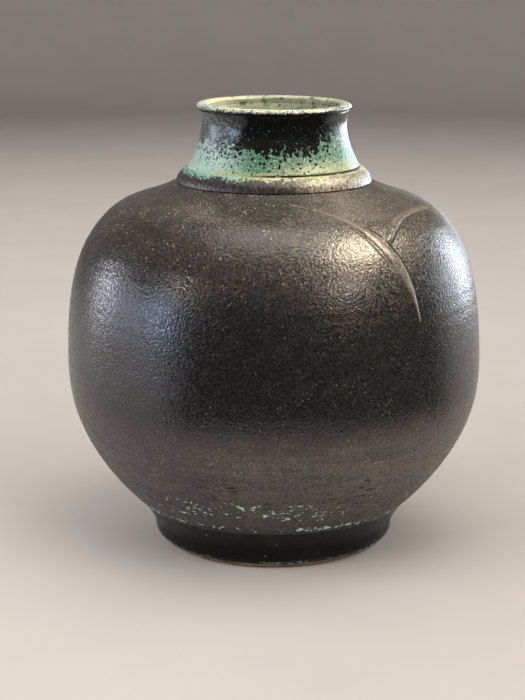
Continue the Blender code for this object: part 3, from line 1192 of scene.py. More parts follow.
@dataclass(frozen=True)
class CreamGlaze:
    """Glossy cream speckled with green, on the lip.

    Attributes:
        cream: The glaze.
        white: Its whiter clouds, most of them on whiter_ends.
        green: Its speckles.
        dark: Its ragged lower edge.
    """

    cream: Colour = (0.56, 0.54, 0.36)
    white: Colour = (0.60, 0.64, 0.58)
    green: Colour = (0.045, 0.075, 0.055)
    dark: Colour = (0.010, 0.012, 0.009)
    whiter_ends: tuple[Facing, Facing] = ((180, 0.9, 0.5), (0, 0.9, 0.5))

    def build(self, bottom: float, crest: float) -> Material:
        """Makes the material.

        Args:
            bottom: Height of the lip's lower edge.
            crest: Radius of the lip's crest, inside which the liner starts.

        Returns:
            The material.
        """
        tree = Tree("cream_glaze")
        clouds = tree.noise(7 * MM, 3.0, 0.6)
        ends = tree.math("MAXIMUM", *(tree.towards(*end) for end in self.whiter_ends))
        whiter = tree.math("MAXIMUM", tree.step(clouds, 0.40, 0.62), tree.product(ends, 0.85))
        colour = tree.mix(whiter, self.cream, self.white)
        lower = tree.step(tree.z, bottom + 5.0 * MM, bottom + 2.0 * MM, 0.0, 0.05)
        speckle = tree.step(tree.total(tree.noise(1.35 * MM, 2.0, 0.65), lower), 0.50, 0.58)
        crowd = tree.step(tree.noise(8 * MM, 2.0), 0.35, 0.60, 0.55, 1.0)
        colour = tree.mix(tree.product(speckle, crowd), colour, self.green)
        ragged = tree.total(tree.z, tree.drift(3.4 * MM, 1.9 * MM))
        under = tree.step(ragged, bottom + 2.1 * MM, bottom + 1.5 * MM)
        colour = tree.mix(under, colour, self.dark)
        radius = tree.math("SQRT", tree.total(tree.product(tree.x, tree.x), tree.product(tree.y, tree.y)))
        ragged = tree.total(radius, tree.drift(1.6 * MM, 2.5 * MM, 3.0))
        inside = tree.step(ragged, crest + 0.3 * MM, crest - 0.5 * MM)
        colour = tree.mix(inside, colour, LinerGlaze().colour(tree))
        normal = tree.bump(tree.noise(1.6 * MM, 2.0), 0.08 * MM)
        return tree.dress(colour, tree.step(clouds, 0.3, 0.7, 0.18, 0.30), normal)


@dataclass(frozen=True)
class LinerGlaze:
    """The liner: cream on the left, pooling to mottled sage green on the right, with dark green spots.

    Attributes:
        cream: The glaze where it is thin.
        sage: The glaze where it pools.
        spot: Its spots.
        cream_side: Where it is cream.
        deep: Distances under the rim where it starts to turn sage and is all sage.
    """

    cream: Colour = (0.60, 0.56, 0.36)
    sage: Colour = (0.275, 0.300, 0.205)
    spot: Colour = (0.050, 0.085, 0.058)
    cream_side: Facing = (172, 0.96, 0.62)
    deep: tuple[float, float] = (12 * MM, 60 * MM)

    def colour(self, tree: Tree) -> Socket:
        """Its colour near the rim.

        Args:
            tree: Its nodes.

        Returns:
            The colour.
        """
        mottle = tree.noise(6 * MM, 4.0, 0.65)
        left = tree.towards(*self.cream_side)
        green = tree.product(tree.step(left, 0.0, 1.0, 1.0, 0.12), tree.step(mottle, 0.25, 0.65, 0.5, 1.0))
        colour = tree.mix(green, self.cream, self.sage)
        spots = tree.step(tree.noise(3.6 * MM, 4.0, 0.6), 0.48, 0.68)
        return tree.mix(tree.product(spots, tree.step(left, 0.0, 1.0, 0.95, 0.15)), colour, self.spot)

    def build(self, top: float) -> Material:
        """Makes the material.

        Args:
            top: Height of the mouth's rim.

        Returns:
            The material.
        """
        tree = Tree("liner_glaze")
        depth = tree.step(tree.z, top - self.deep[0], top - self.deep[1])
        colour = tree.mix(tree.product(depth, 0.35), self.colour(tree), self.sage)
        normal = tree.bump(tree.noise(2.0 * MM, 2.0), 0.10 * MM)
        return tree.dress(colour, tree.step(tree.noise(5 * MM), 0.3, 0.7, 0.18, 0.32), normal)


@dataclass(frozen=True)
class PaleCloth:
    """The plain pale surface that the vase stands on."""

    pale: Colour = (0.214, 0.196, 0.182)
    shade: Colour = (0.205, 0.188, 0.174)
    patch: float = 0.12

    def build(self) -> Material:
        """Makes the material.

        Returns:
            The material.
        """
        tree = Tree("pale_cloth")
        colour = tree.mix(tree.step(tree.noise(self.patch, 3.0), 0.3, 0.7), self.pale, self.shade)
        normal = tree.bump(tree.noise(1.1 * MM, 2.0), 0.05 * MM)
        return tree.dress(colour, tree.step(tree.noise(0.2), 0.0, 1.0, 0.85, 0.95), normal, gloss=0.0)


# ---- the body's surface ----


@dataclass(frozen=True)
class Incision:
    """A line cut beside a ridge.

    Attributes:
        side: 1 for the ridge's right as it runs, -1 for its left.
        start: Where it starts along the ridge, from 0 to 1.
        end: Where it ends.
        depth: How deep it is.
        half: Half of its width.
    """

    side: int
    start: float
    end: float
    depth: float
    half: float


@dataclass(frozen=True)
class RidgeLine:
    """The line of an applied ridge down the shoulder, and its cross-section.

    Attributes:
        controls: Four control points of a cubic curve, as (azimuth, distance down from the mouth's edge).
        fades_out: Whether it thins at its end too, and not only at its start.
        incisions: The lines cut beside it.
        crest_at: Where its crest lies across it, from -1 to 1.
        half_width: Half of its greatest width.
        end_half_width: Half of its width where it starts.
        height: Its greatest height over the shoulder.
        end_height: Its height where it starts.
        right_sink: How far its right edge lies under the shoulder where it is fullest.
        crease_from: How far across, from -1 to 1, the painted shade along its right edge starts.
        crease_start: Where along it that painted shade starts.
        pale: How pale its crest is where the glaze runs thin; on the branch it is also a painted highlight
            on its band.
    """

    controls: tuple[tuple[float, float], ...]
    fades_out: bool
    incisions: tuple[Incision, ...]
    crest_at: float = -0.25
    half_width: float = 5.2 * MM
    end_half_width: float = 0.8 * MM
    height: float = 1.05 * MM
    end_height: float = 0.55 * MM
    right_sink: float = 0.20 * MM
    crease_from: float = 0.74
    crease_start: float = 0.32
    pale: float = 1.0

    def path(self, share: Array) -> Array:
        """Places along its line.

        Args:
            share: Shares of the way along, from 0 to 1.

        Returns:
            Rows of (azimuth in radians, distance down from the mouth's edge).
        """
        controls = np.array(self.controls) * (math.radians(1), 1)
        back, t = 1 - share[:, None], share[:, None]
        first, second, third, last = controls
        return back**3 * first + 3 * back**2 * t * second + 3 * back * t**2 * third + t**3 * last

    def swell(self, share: Array) -> Array:
        """How full the ridge is at shares of the way along, from 0 to 1."""
        return np.sin(math.pi * share**1.5) ** 2 if self.fades_out else np.sin(math.pi / 2 * share)

    def half(self, share: Array) -> Array:
        """Half of its width."""
        return self.end_half_width + (self.half_width - self.end_half_width) * self.swell(share)

    def tall(self, share: Array) -> Array:
        """Its height over the shoulder."""
        return self.end_height + (self.height - self.end_height) * self.swell(share)


class BodyForm:
    """The outside of the body from the foot to the mouth, with what the potter's hands left on it.

    Attributes:
        ring_pitch: Height of one throwing ring.
        ring_lift: Height of the rings over the wall.
        mark_pitch: Height of one turning mark.
        mark_lift: How far the marks stand out.
        round_lift: How far the body is out of round.
        swelling: How far the wall rises under a ridge.
        swelling_reach: How far from the ridge that rise goes.
        table_step: Step of the table that the outline is looked up in.
        line_steps: Places on a ridge's line that distances are measured from.
        block: Points that are measured at a time.
        window: Distance down, and azimuth in radians, past a ridge's line where its lift is left out.
        cut_fade: Share of the ridge over which an incised line fades at its ends.
    """

    ring_pitch = 8.5 * MM
    ring_lift = 0.045 * MM
    mark_pitch = 2.3 * MM
    mark_lift = 0.045 * MM
    round_lift = 0.35 * MM
    swelling = 0.35 * MM
    swelling_reach = 9.0 * MM
    table_step = 0.25 * MM
    line_steps = 500
    block = 4000
    window = (0.03, 0.3)
    cut_fade = 0.10

    def __init__(self, foot_top: float, seam: float, mouth: float, ridges: list[RidgeLine]) -> None:
        """Reads the outline of the two body sections.

        Args:
            foot_top: Height where the body starts.
            seam: Height of the seam between the sections.
            mouth: Height of the mouth's edge.
            ridges: The ridges that lie on it.
        """
        self.foot_top, self.seam, self.mouth = foot_top, seam, mouth
        clear = 2 * MM
        lower = seen_corners("lower_body", Side.OUTSIDE, foot_top, seam - clear)
        upper = seen_corners("upper_body", Side.OUTSIDE, seam + clear, mouth)
        self.outline = Outline(np.concatenate((lower, upper))[::-1])
        self.distance = even_steps(0, self.outline.length, self.table_step)
        self.table = self.outline.at(self.distance)
        self.normals = -outward(self.table, closed=False)
        self.ridges = ridges

    def distance_at(self, height: Array) -> Array:
        """Distance down the outside from the mouth's edge, at heights."""
        return np.interp(height, self.table[::-1, 1], self.distance[::-1])

    def at(self, distance: Array) -> tuple[Array, Array]:
        """The plain surface at distances down from the mouth's edge.

        Args:
            distance: The distances.

        Returns:
            The points as (radius, height), and their outward normals.
        """
        point, normal = (np.stack([np.interp(distance, self.distance, column) for column in table.T], -1)
                         for table in (self.table, self.normals))
        return point, normal

    def heading(self, path: Array) -> tuple[Array, Array]:
        """Which way a line on the surface runs.

        Args:
            path: Rows of (azimuth in radians, distance down from the mouth's edge).

        Returns:
            The radius at each place, and the unit direction there, as (eastward, down).
        """
        radius = self.at(path[:, 1])[0][:, 0]
        run = np.gradient(path, axis=0) * np.column_stack((radius, np.ones(len(path))))
        return radius, run / np.hypot(*run.T)[:, None]

    def throwing(self, azimuth: Array, height: Array) -> Array:
        """Lift left by throwing and turning: a slow spiral above, close marks below.

        Args:
            azimuth: Azimuths in radians.
            height: Heights.

        Returns:
            The lift, 0 at the foot and at the mouth.
        """
        turns = 2 * math.pi * height
        spiral = turns / self.ring_pitch + azimuth + 0.9 * wander(azimuth, height, 0.07, 1.0)
        rings = np.sin(spiral) * (0.55 + 0.45 * wander(azimuth, height, 0.05, 2.0))
        low = np.clip((self.seam + 8 * MM - height) / (30 * MM), 0, 1)
        turned = np.sin(turns / self.mark_pitch + azimuth + wander(azimuth, height, 0.02, 3.0))
        uneven = self.round_lift * wander(azimuth, height, 0.21, 5.0)
        under_mouth = np.clip((self.mouth - height) / (4 * MM), 0, 1)
        over_foot = np.clip((height - self.foot_top) / (3 * MM), 0, 1)
        worked = self.ring_lift * rings * (1 - 0.6 * low) + self.mark_lift * turned * low + uneven
        return under_mouth * over_foot * worked

    def beside_ridges(self, azimuth: Array, distance: Array) -> tuple[Array, Array]:
        """Lift and incised share near the ridges.

        Args:
            azimuth: Azimuths in radians, in a flat array.
            distance: Distances down from the mouth's edge.

        Returns:
            The lift, below 0 in an incised line, and how much each point is part of such a line.
        """
        lift = np.zeros_like(azimuth)
        incised = np.zeros_like(azimuth)
        radius = self.at(distance)[0][:, 0]
        further, wider = self.window
        share = np.linspace(0, 1, self.line_steps)
        for ridge in self.ridges:
            path = ridge.path(share)
            inside = (distance > path[:, 1].min() - further) & (distance < path[:, 1].max() + further)
            inside &= (azimuth > path[:, 0].min() - wider) & (azimuth < path[:, 0].max() + wider)
            chosen = np.nonzero(inside)[0]
            run = self.heading(path)[1]
            for block in np.array_split(chosen, max(1, len(chosen) // self.block)):
                east = (azimuth[block][:, None] - path[None, :, 0]) * radius[block][:, None]
                south = distance[block][:, None] - path[None, :, 1]
                nearest = np.argmin(east**2 + south**2, axis=1)
                pick = np.arange(len(block))
                east, south = east[pick, nearest], south[pick, nearest]
                away = np.hypot(east, south)
                across = east * run[nearest, 1] - south * run[nearest, 0]
                along = share[nearest]
                reach = np.exp(-((away / self.swelling_reach) ** 2))
                lift[block] += self.swelling * ridge.swell(along) * reach
                past_end = np.abs(away - np.abs(across)) > 0.5 * MM
                for cut in ridge.incisions:
                    middle = cut.side * (ridge.half(along) + 0.25 * cut.half)
                    profile = np.exp(-(((across - middle) / cut.half) ** 2)) * ~past_end
                    begun = np.clip((along - cut.start) / self.cut_fade, 0, 1)
                    unended = np.clip((cut.end - along) / self.cut_fade + 1, 0, 1)
                    depth = profile * (begun * unended)
                    lift[block] -= cut.depth * depth
                    incised[block] = np.maximum(incised[block], depth)
        return lift, incised

    def lift(self, azimuth: Array, height: Array) -> tuple[Array, Array]:
        """The whole lift, and the incised share.

        Args:
            azimuth: Azimuths in radians, in a flat array.
            height: Heights.

        Returns:
            Both, one value for each point.
        """
        beside, incised = self.beside_ridges(azimuth, self.distance_at(height))
        return self.throwing(azimuth, height) + beside, incised

    def reshape(self, piece: Object) -> None:
        """Moves the outer points of a plain turned section onto the worked surface.

        Args:
            piece: The section, whose outer points lie near the outline.
        """
        mesh = piece.data
        places = np.empty(len(mesh.vertices) * 3)
        mesh.vertices.foreach_get("co", places)
        places = places.reshape(-1, 3)
        radius = np.hypot(places[:, 0], places[:, 1])
        height = places[:, 2]
        point, normal = self.at(self.distance_at(height))
        near = 1.5 * MM
        outer = (np.abs(radius - point[:, 0]) < near) & (height > self.foot_top - TINY)
        azimuth = np.arctan2(places[:, 1], places[:, 0])
        lift, incised = self.lift(azimuth, height)
        moved = point + lift[:, None] * normal
        worked = on_axis_circle(moved, azimuth)
        places[outer] = worked[outer]
        mesh.vertices.foreach_set("co", places.reshape(-1))
        # The incised share, which the body's glaze also uses as the mask of painted shade in the lines.
        store(piece, "incised", np.where(outer, incised, 0.0))
        mesh.update()


def refine(piece: Object, near: Callable[[Array], Array], cuts: int) -> None:
    """Divides the faces of a mesh where near says so.

    Args:
        piece: The object.
        near: Takes rows of (x, y, z) and says which are near what needs fine faces.
        cuts: Cuts made in each edge there.
    """
    shape = bmesh.new()
    shape.from_mesh(piece.data)
    shape.faces.ensure_lookup_table()
    centres = np.array([face.calc_center_median() for face in shape.faces])
    chosen = np.nonzero(near(centres))[0]
    edges = {edge for index in chosen for edge in shape.faces[index].edges}
    bmesh.ops.subdivide_edges(shape, edges=list(edges), cuts=cuts, use_grid_fill=True)
    shape.to_mesh(piece.data)
    shape.free()


# ---- sub-assemblies ----


@dataclass
class Body:
    """The lower and the upper section of the body.

    Attributes:
        form: The surface that both follow.
        front_step: Angle between the columns at the front.
        back_step: Angle between the others.
        front: First and last azimuth of the front.
        fine_row: Distance between the rows of faces near the ridges.
        plain_row: Distance between the others.
        fine_reach: Distances down from the mouth's edge between which the rows are fine.
        ridge_reach: How far from a ridge's line the faces are cut finer still.
        line_steps: Places on that line that are tried.
        cuts: Cuts made in each edge there.
        tuck: How far the lower edge reaches down behind the foot.
    """

    form: BodyForm
    front_step: float = 0.6
    back_step: float = 1.6
    front: tuple[float, float] = (-90.0, -6.0)
    fine_row: float = 1.1 * MM
    plain_row: float = 2.2 * MM
    fine_reach: tuple[float, float] = (0.012, 0.108)
    ridge_reach: float = 6.8 * MM
    line_steps: int = 120
    cuts: int = 3
    tuck: float = 0.35 * MM

    def azimuths(self) -> Array:
        """Where the columns stand, closer together at the front where the ridges lie.

        Returns:
            Azimuths in radians.
        """
        front = even_steps(*self.front, self.front_step)
        back = even_steps(self.front[1], self.front[0] + 360, self.back_step)[1:-1]
        return np.radians(np.concatenate((front, back)))

    def build_lower(self) -> Object:
        """The section from the foot to the seam.

        Returns:
            The piece.
        """
        form = self.form
        seam_at = float(form.distance_at(np.array([form.seam]))[0])
        outside = form.at(even_steps(form.outline.length, seam_at, self.plain_row))[0]
        inside = seen_corners("lower_body", Side.INSIDE, form.foot_top, form.seam)[::-1]
        outside[0, 1] = form.foot_top - self.tuck
        piece = turned_piece("lower_body_wall", [Run(outside), Run(inside, slot=1)], self.azimuths())
        form.reshape(piece)
        return piece

    def build_upper(self) -> Object:
        """The section from the seam to the mouth, with fine faces where the ridges are.

        Returns:
            The piece.
        """
        form = self.form
        seam_at = float(form.distance_at(np.array([form.seam]))[0])
        start, end = self.fine_reach
        rows = np.concatenate((even_steps(seam_at, end, self.plain_row)[:-1],
                               even_steps(end, start, self.fine_row)[:-1],
                               even_steps(start, 0.0, self.plain_row / 2)))
        outside = form.at(rows)[0]
        inside = seen_corners("upper_body", Side.INSIDE, form.seam, form.mouth)[::-1]
        piece = turned_piece("upper_body_wall", [Run(outside), Run(inside, slot=1)], self.azimuths())
        refine(piece, self.near_ridges, self.cuts)
        form.reshape(piece)
        finish_mesh(piece)
        return piece

    def near_ridges(self, places: Array) -> Array:
        """Which points lie close to a ridge.

        Args:
            places: Rows of (x, y, z).

        Returns:
            One truth value for each.
        """
        line = []
        for ridge in self.form.ridges:
            path = ridge.path(np.linspace(0, 1, self.line_steps))
            point = self.form.at(path[:, 1])[0]
            line.append(on_axis_circle(point, path[:, 0]))
        line = np.concatenate(line)
        near = np.zeros(len(places), bool)
        radius = np.hypot(places[:, 0], places[:, 1])
        outer = np.nonzero(radius > self.form.at(self.form.distance_at(places[:, 2]))[0][:, 0] - 2 * MM)[0]
        for block in np.array_split(outer, max(1, len(outer) // self.form.block)):
            gaps = places[block][:, None, :] - line[None, :, :]
            near[block] = np.sqrt((gaps**2).sum(-1)).min(1) < self.ridge_reach
        return near

    def dress(self, lower: Object, upper: Object, liner: Material) -> None:
        """Gives both sections the body's glaze outside and the liner inside.

        Args:
            lower: The lower section.
            upper: The upper section.
            liner: The liner glaze.
        """
        glaze = BodyGlaze().build(self.form.foot_top, self.form.mouth)
        seat(lower, "lower_body", Slot.MATTE, glaze, liner)
        seat(upper, "upper_body", Slot.SATIN, glaze, liner)


@dataclass
class Ridge:
    """One applied ridge on the shoulder.

    Attributes:
        form: The surface that it lies on.
        line: Its line and cross-section.
        node: The CAD node that it stands for.
        last: Share of the line where it ends.
        stations: Places along it that have points.
        across: Points across it at each.
        sunk: How far its underside lies in the wall.
        edge_sunk: How far its edges lie in the wall.
        taper: Share of the line over which it thins at its end.
        rise: Share over which it gets its full height at its start.
        sharp: Edges past this angle, in degrees, stay sharp.
    """

    form: BodyForm
    line: RidgeLine
    node: str
    last: float = 1.0
    stations: int = 260
    across: int = 17
    sunk: float = 0.8 * MM
    edge_sunk: float = 0.08 * MM
    taper: float = 0.03
    rise: float = 0.12
    sharp: float = 60.0

    def rounding(self, side: Array) -> Array:
        """Its shape across, steeper on the right of the crest.

        Args:
            side: Places across it, from -1 to 1.

        Returns:
            0 at both edges, 1 at the crest.
        """
        crest = self.line.crest_at
        slope = np.where(side < crest, (side + 1) / (crest + 1), (1 - side) / (1 - crest))
        return np.where(side < crest, slope**2 * (3 - 2 * slope), 1 - (1 - slope) ** 2.2)

    def top(self, share: Array, side: Array) -> Array:
        """How far its top stands over the thrown wall.

        Args:
            share: Places along it.
            side: Places across it.

        Returns:
            The lift, with a row for each place along.
        """
        line, crest = self.line, self.line.crest_at
        hand = 1 + 0.10 * np.sin(share * 31) + 0.06 * np.sin(share * 67 + 1)
        thinning = np.sqrt(np.clip((self.last - share) / self.taper, 0, 1))
        tall = line.tall(share) * hand * (thinning * np.clip(0.3 + share / self.rise, 0, 1))
        swell = line.swell(share)[:, None]
        sink = line.right_sink * swell * np.clip((side - crest) / (1 - crest), 0, 1)
        away = side[None, :] * line.half(share)[:, None]
        swollen = self.form.swelling * swell * np.exp(-((away / self.form.swelling_reach) ** 2))
        return self.rounding(side)[None, :] * tall[:, None] - self.edge_sunk - sink + swollen

    def build(self) -> Object:
        """A closed strip over the shoulder, with its paleness and its dark edge stored on its points.

        Returns:
            The piece.
        """
        line = self.line
        share = np.linspace(0, self.last, self.stations)
        side = np.linspace(-1, 1, self.across)
        path = line.path(share)
        radius, run = self.form.heading(path)
        half = line.half(share)
        azimuth = path[:, None, 0] + side[None, :] * half[:, None] * run[:, None, 1] / radius[:, None]
        distance = path[:, None, 1] - side[None, :] * half[:, None] * run[:, None, 0]
        top = self.top(share, side)
        turn = np.concatenate((azimuth, azimuth[:, ::-1]), axis=1).reshape(-1)
        down = np.concatenate((distance, distance[:, ::-1]), axis=1).reshape(-1)
        lift = np.concatenate((top, np.full_like(top, -self.sunk)), axis=1).reshape(-1)
        point, normal = self.form.at(down)
        place = point + (self.form.throwing(turn, point[:, 1]) + lift)[:, None] * normal
        grid = on_axis_circle(place, turn)
        piece = grid_mesh(self.node + "_strip", grid, self.stations, 2 * self.across,
                          row_closed=False, caps=True)
        pale = np.clip((self.rounding(side) - 0.35) / 0.40, 0, 1)[None, :]
        pale = pale * (1 - 0.84 * line.swell(share))[:, None] * line.pale
        store(piece, "crest", np.concatenate((pale, np.zeros_like(top)), axis=1))
        # Painted shade on the right edge, as if it lay in shadow, and on the whole underside.
        crease_shade = np.clip((side - line.crease_from) / 0.2, 0, 1)[None, :]
        crease_shade = crease_shade * np.clip((share - line.crease_start) / 0.08, 0, 1)[:, None]
        store(piece, "crease_shade", np.concatenate((crease_shade, np.ones_like(top)), axis=1))
        finish_mesh(piece, self.sharp)
        return piece

    def dress(self, piece: Object, glaze: Material) -> None:
        """Gives the strip its glaze."""
        seat(piece, self.node, Slot.RIDGE, glaze)


@dataclass
class Foot:
    """The foot ring and the floor disc.

    Attributes:
        top: Height where the ring meets the body.
        columns: Columns of the ring, and twice those of the disc.
        row: Distance between the ring's rows of faces outside.
        bevel: Radius of the edge between the standing face and the recess.
        uneven: How far the turning tool strayed.
        marks: How far its marks stand out.
        mark_height: Height of one mark's rise or fall.
        plain_below: Height under which there is neither, so that it stands level.
        eye: Radius of the hole in the middle of the disc's faces, too small to see.
    """

    top: float
    columns: int = 288
    row: float = 0.6 * MM
    bevel: float = 1.2 * MM
    uneven: float = 0.12 * MM
    marks: float = 0.04 * MM
    mark_height: float = 1.0 * MM
    plain_below: float = 1.0 * MM
    eye: float = 0.5 * MM

    def hand(self, azimuth: Array, height: Array) -> Array:
        """Lift left by the turning tool, none where the ring stands.

        Args:
            azimuth: Azimuths in radians.
            height: Heights.

        Returns:
            The lift.
        """
        worked = self.uneven * wander(azimuth, height, 0.05, 7.0)
        worked = worked + self.marks * np.sin(height * math.pi / self.mark_height)
        return worked * np.clip((height - self.plain_below) / (2 * MM), 0, 1)

    def build_ring(self) -> Object:
        """The turned ring with its flared outside and its recess.

        Returns:
            The piece.
        """
        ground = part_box("foot_ring")[0].z
        disc_low, disc_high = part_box("base_disc")
        outside = Outline(seen_corners("foot_ring", Side.OUTSIDE, ground, self.top)).sampled(self.row)
        inside = seen_corners("foot_ring", Side.INSIDE, ground, disc_low.z)
        recess, ledge = inside[0, 0], inside[-1, 0]
        bevel = arc((recess + self.bevel, ground + self.bevel), (self.bevel, self.bevel), -90, -180, 5)
        top = np.array([(disc_high.x, self.top), (disc_high.x, disc_low.z), (ledge, disc_low.z)])
        runs = [Run(outside, relief=self.hand), Run(top, slot=1), Run(bevel[::-1], slot=1)]
        return turned_piece("foot_ring_turned", runs, columns(self.columns))

    def build_disc(self) -> Object:
        """The floor, bare clay below and a liner on top, both slightly dished.

        Returns:
            The piece.
        """
        low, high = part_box("base_disc")
        rim, edge = high.x, 0.5 * MM
        under = np.array([(self.eye, low.z + 0.8 * MM), (self.eye + 12 * MM, low.z + 0.5 * MM),
                          (rim * 0.6, low.z + 0.1 * MM), (rim - 2 * edge, low.z), (rim, low.z + edge)])
        over = np.array([(rim, high.z - edge), (rim - 2 * edge, high.z), (rim * 0.6, high.z - 0.2 * MM),
                         (14 * MM, high.z + 0.6 * MM), (self.eye, high.z + 0.9 * MM)])
        runs = [Run(under), Run(over, slot=1)]
        return turned_piece("floor_disc_turned", runs, columns(self.columns // 2))

    def dress(self, ring: Object, disc: Object, liner: Material) -> None:
        """Gives the ring its glaze over bare clay, and the disc bare clay under the liner.

        Args:
            ring: The foot ring.
            disc: The floor disc.
            liner: The liner glaze.
        """
        clay = BareClay().build()
        seat(ring, "foot_ring", Slot.FOOT, FootGlaze().build(), clay)
        seat(disc, "base_disc", Slot.BASE, clay, liner)


@dataclass
class Neck:
    """The collar, the waisted neck and the rolled lip.

    Attributes:
        columns: Columns of each piece.
        uneven: How far the potter's fingers strayed.
        high_side: How much higher the rim is at the back left.
        wave: How far the rim waves besides.
        seam_depth: Depth of the groove line over the collar, seam_rise over the neck's lower edge.
        seam_half: Half of its width.
        collar_roll: How far the collar rounds over at its top.
        lip_drop: Half of the height of the lip's roll.
    """

    columns: int = 360
    uneven: float = 0.10 * MM
    high_side: float = 0.35 * MM
    wave: float = 0.15 * MM
    seam_depth: float = 0.55 * MM
    seam_rise: float = 0.35 * MM
    seam_half: float = 0.4 * MM
    collar_roll: float = 0.8 * MM
    lip_drop: float = 1.9 * MM

    def sway(self, azimuth: Array, height: Array) -> Array:
        """Lift left by the potter's fingers."""
        return self.uneven * wander(azimuth, height, 0.03, 11.0)

    def seam(self, azimuth: Array, height: Array) -> Array:
        """The same, with a groove line just over the collar on the right front, where no glaze fills it.

        Args:
            azimuth: Azimuths in radians.
            height: Heights.

        Returns:
            The lift.
        """
        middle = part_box("neck")[0].z + self.seam_rise
        level = np.exp(-(((height - middle) / self.seam_half) ** 2))
        open_here = np.clip((np.cos(azimuth - math.radians(-48)) - 0.35) / 0.4, 0, 1)
        return self.sway(azimuth, height) - self.seam_depth * level * open_here

    def tilt(self, azimuth: Array, height: Array) -> Array:
        """How far the rim rises, a little higher at the back left.

        Args:
            azimuth: Azimuths in radians.
            height: Heights.

        Returns:
            The rise, 0 at the neck's lower edge.
        """
        low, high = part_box("neck")
        share = np.clip((height - low.z) / (high.z - low.z), 0, 1) ** 2
        back_left = np.cos(azimuth - math.radians(140))
        return share * (self.high_side * back_left + self.wave * np.sin(2 * azimuth))

    def build_collar(self, mouth: float) -> Object:
        """The raised band, rounded under at its lower edge and over at its upper one.

        Args:
            mouth: Height of the mouth that it sits on.

        Returns:
            The piece.
        """
        low, neck_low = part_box("neck_collar")[0].z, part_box("neck")[0].z
        band = Outline(seen_corners("neck_collar", Side.OUTSIDE, low, neck_low)).sampled(0.35 * MM)
        (bottom, _), (top, level) = band[0], band[-1]
        under = np.array([(bottom - 2.2 * MM, mouth - 0.1 * MM), (bottom - 0.7 * MM, low + 0.05 * MM)])
        over = np.array([(top - 0.5 * MM, level + 0.02 * MM), (top - 2.0 * MM, level - self.collar_roll)])
        inner = seen_corners("neck_collar", Side.INSIDE, low, neck_low)
        runs = [Run(under), Run(band[1:-1], relief=self.sway), Run(over), Run(inner[::-1], slot=1)]
        return turned_piece("collar_band", runs, columns(self.columns))

    def build_neck(self) -> Object:
        """The waisted wall, with close rows at the seam over the collar.

        Returns:
            The piece.
        """
        low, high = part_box("neck")[0].z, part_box("lip")[0].z
        curve = Outline(seen_corners("neck", Side.OUTSIDE, low, high))
        seam_end = 1.6 * MM
        rows = np.concatenate((even_steps(0, seam_end, 0.2 * MM)[:-1],
                               even_steps(seam_end, curve.length, 0.6 * MM)))
        outside = curve.at(rows)
        inside = Outline(seen_corners("neck", Side.INSIDE, low, high)).sampled(1.2 * MM)
        radius, level = outside[0]
        outside = np.concatenate(([(radius + 0.25 * MM, level - 0.35 * MM)], outside))
        runs = [Run(outside, relief=self.seam), Run(inside[::-1], slot=1)]
        return turned_piece("neck_wall", runs, columns(self.columns), warp=self.tilt)

    def lip_inside(self) -> float:
        """Inner radius of the lip."""
        low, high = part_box("lip")
        return float(seen_corners("lip", Side.INSIDE, low.z, high.z)[0, 0])

    def lip_crest(self) -> float:
        """Radius of the lip's crest."""
        return (self.lip_inside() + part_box("lip")[1].x) / 2

    def build_lip(self) -> Object:
        """The rolled lip.

        Returns:
            The piece.
        """
        low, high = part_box("lip")
        radius, level = seen_corners("neck", Side.OUTSIDE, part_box("neck")[0].z, low.z)[-1]
        inner, middle = self.lip_inside(), self.lip_crest()
        roll = arc((middle, high.z - self.lip_drop), (high.x - middle, self.lip_drop), -62, 180, 40)
        outside = np.concatenate(([(radius - 0.3 * MM, level - 0.2 * MM)], roll))
        runs = [Run(outside, relief=self.sway), Run(np.array([(inner, low.z - 0.2 * MM)]))]
        return turned_piece("lip_roll", runs, columns(self.columns), warp=self.tilt, sharp=60)

    def dress(self, collar: Object, wall: Object, lip: Object,
              liner: Material) -> None:
        """Gives the three pieces their glazes outside and the liner inside.

        Args:
            collar: The collar.
            wall: The waisted wall.
            lip: The lip, whose glaze turns into the liner past its crest.
            liner: The liner glaze.
        """
        collar_low, neck_low, lip_low = (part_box(node)[0].z for node in ("neck_collar", "neck", "lip"))
        satin = CollarGlaze().build(collar_low, neck_low)
        copper = CopperGlaze().build(neck_low, lip_low)
        cream = CreamGlaze().build(lip_low, self.lip_crest())
        seat(collar, "neck_collar", Slot.COLLAR, satin, liner)
        seat(wall, "neck", Slot.COPPER, copper, liner)
        seat(lip, "lip", Slot.CREAM, cream)


# ---- studio ----


@dataclass(frozen=True)
class Softbox:
    """A soft light by the direction that it shines from.

    Attributes:
        azimuth: Direction from the vase, in degrees, as is elevation.
        size: Its width and height.
        radiance: How bright its face is.
        distance: From the vase's middle.
        glossy: Whether it shows in gloss.
        diffuse: Whether it lights what isn't glossy.
        receiver: What it falls on.
    """

    name: str
    azimuth: float
    elevation: float
    size: tuple[float, float]
    radiance: float
    colour: Colour
    distance: float = 1.9
    glossy: bool = True
    diffuse: bool = True
    receiver: Receiver = Receiver.ALL

    def build(self, middle: Vector, groups: dict[Receiver, bpy.types.Collection]) -> Object:
        """Makes the light, turned to the vase.

        Args:
            middle: The vase's middle.
            groups: The pieces that each receiver stands for; ALL has no group.

        Returns:
            The light object.
        """
        light = bpy.data.lights.new(self.name, "AREA")
        light.shape = "RECTANGLE"
        light.size, light.size_y = self.size
        light.energy = self.radiance * math.pi * self.size[0] * self.size[1]
        light.color = self.colour
        lamp = bpy.data.objects.new(self.name, light)
        bpy.context.scene.collection.objects.link(lamp)
        turn, rise = math.radians(self.azimuth), math.radians(self.elevation)
        level = math.cos(rise)
        away = Vector((level * math.cos(turn), level * math.sin(turn), math.sin(rise)))
        lamp.location = middle + self.distance * away
        lamp.rotation_euler = away.to_track_quat("Z", "Y").to_euler()
        lamp.visible_camera = False
        lamp.visible_glossy = self.glossy
        lamp.visible_diffuse = self.diffuse
        if self.receiver in groups:
            lamp.light_linking.receiver_collection = groups[self.receiver]
        return lamp


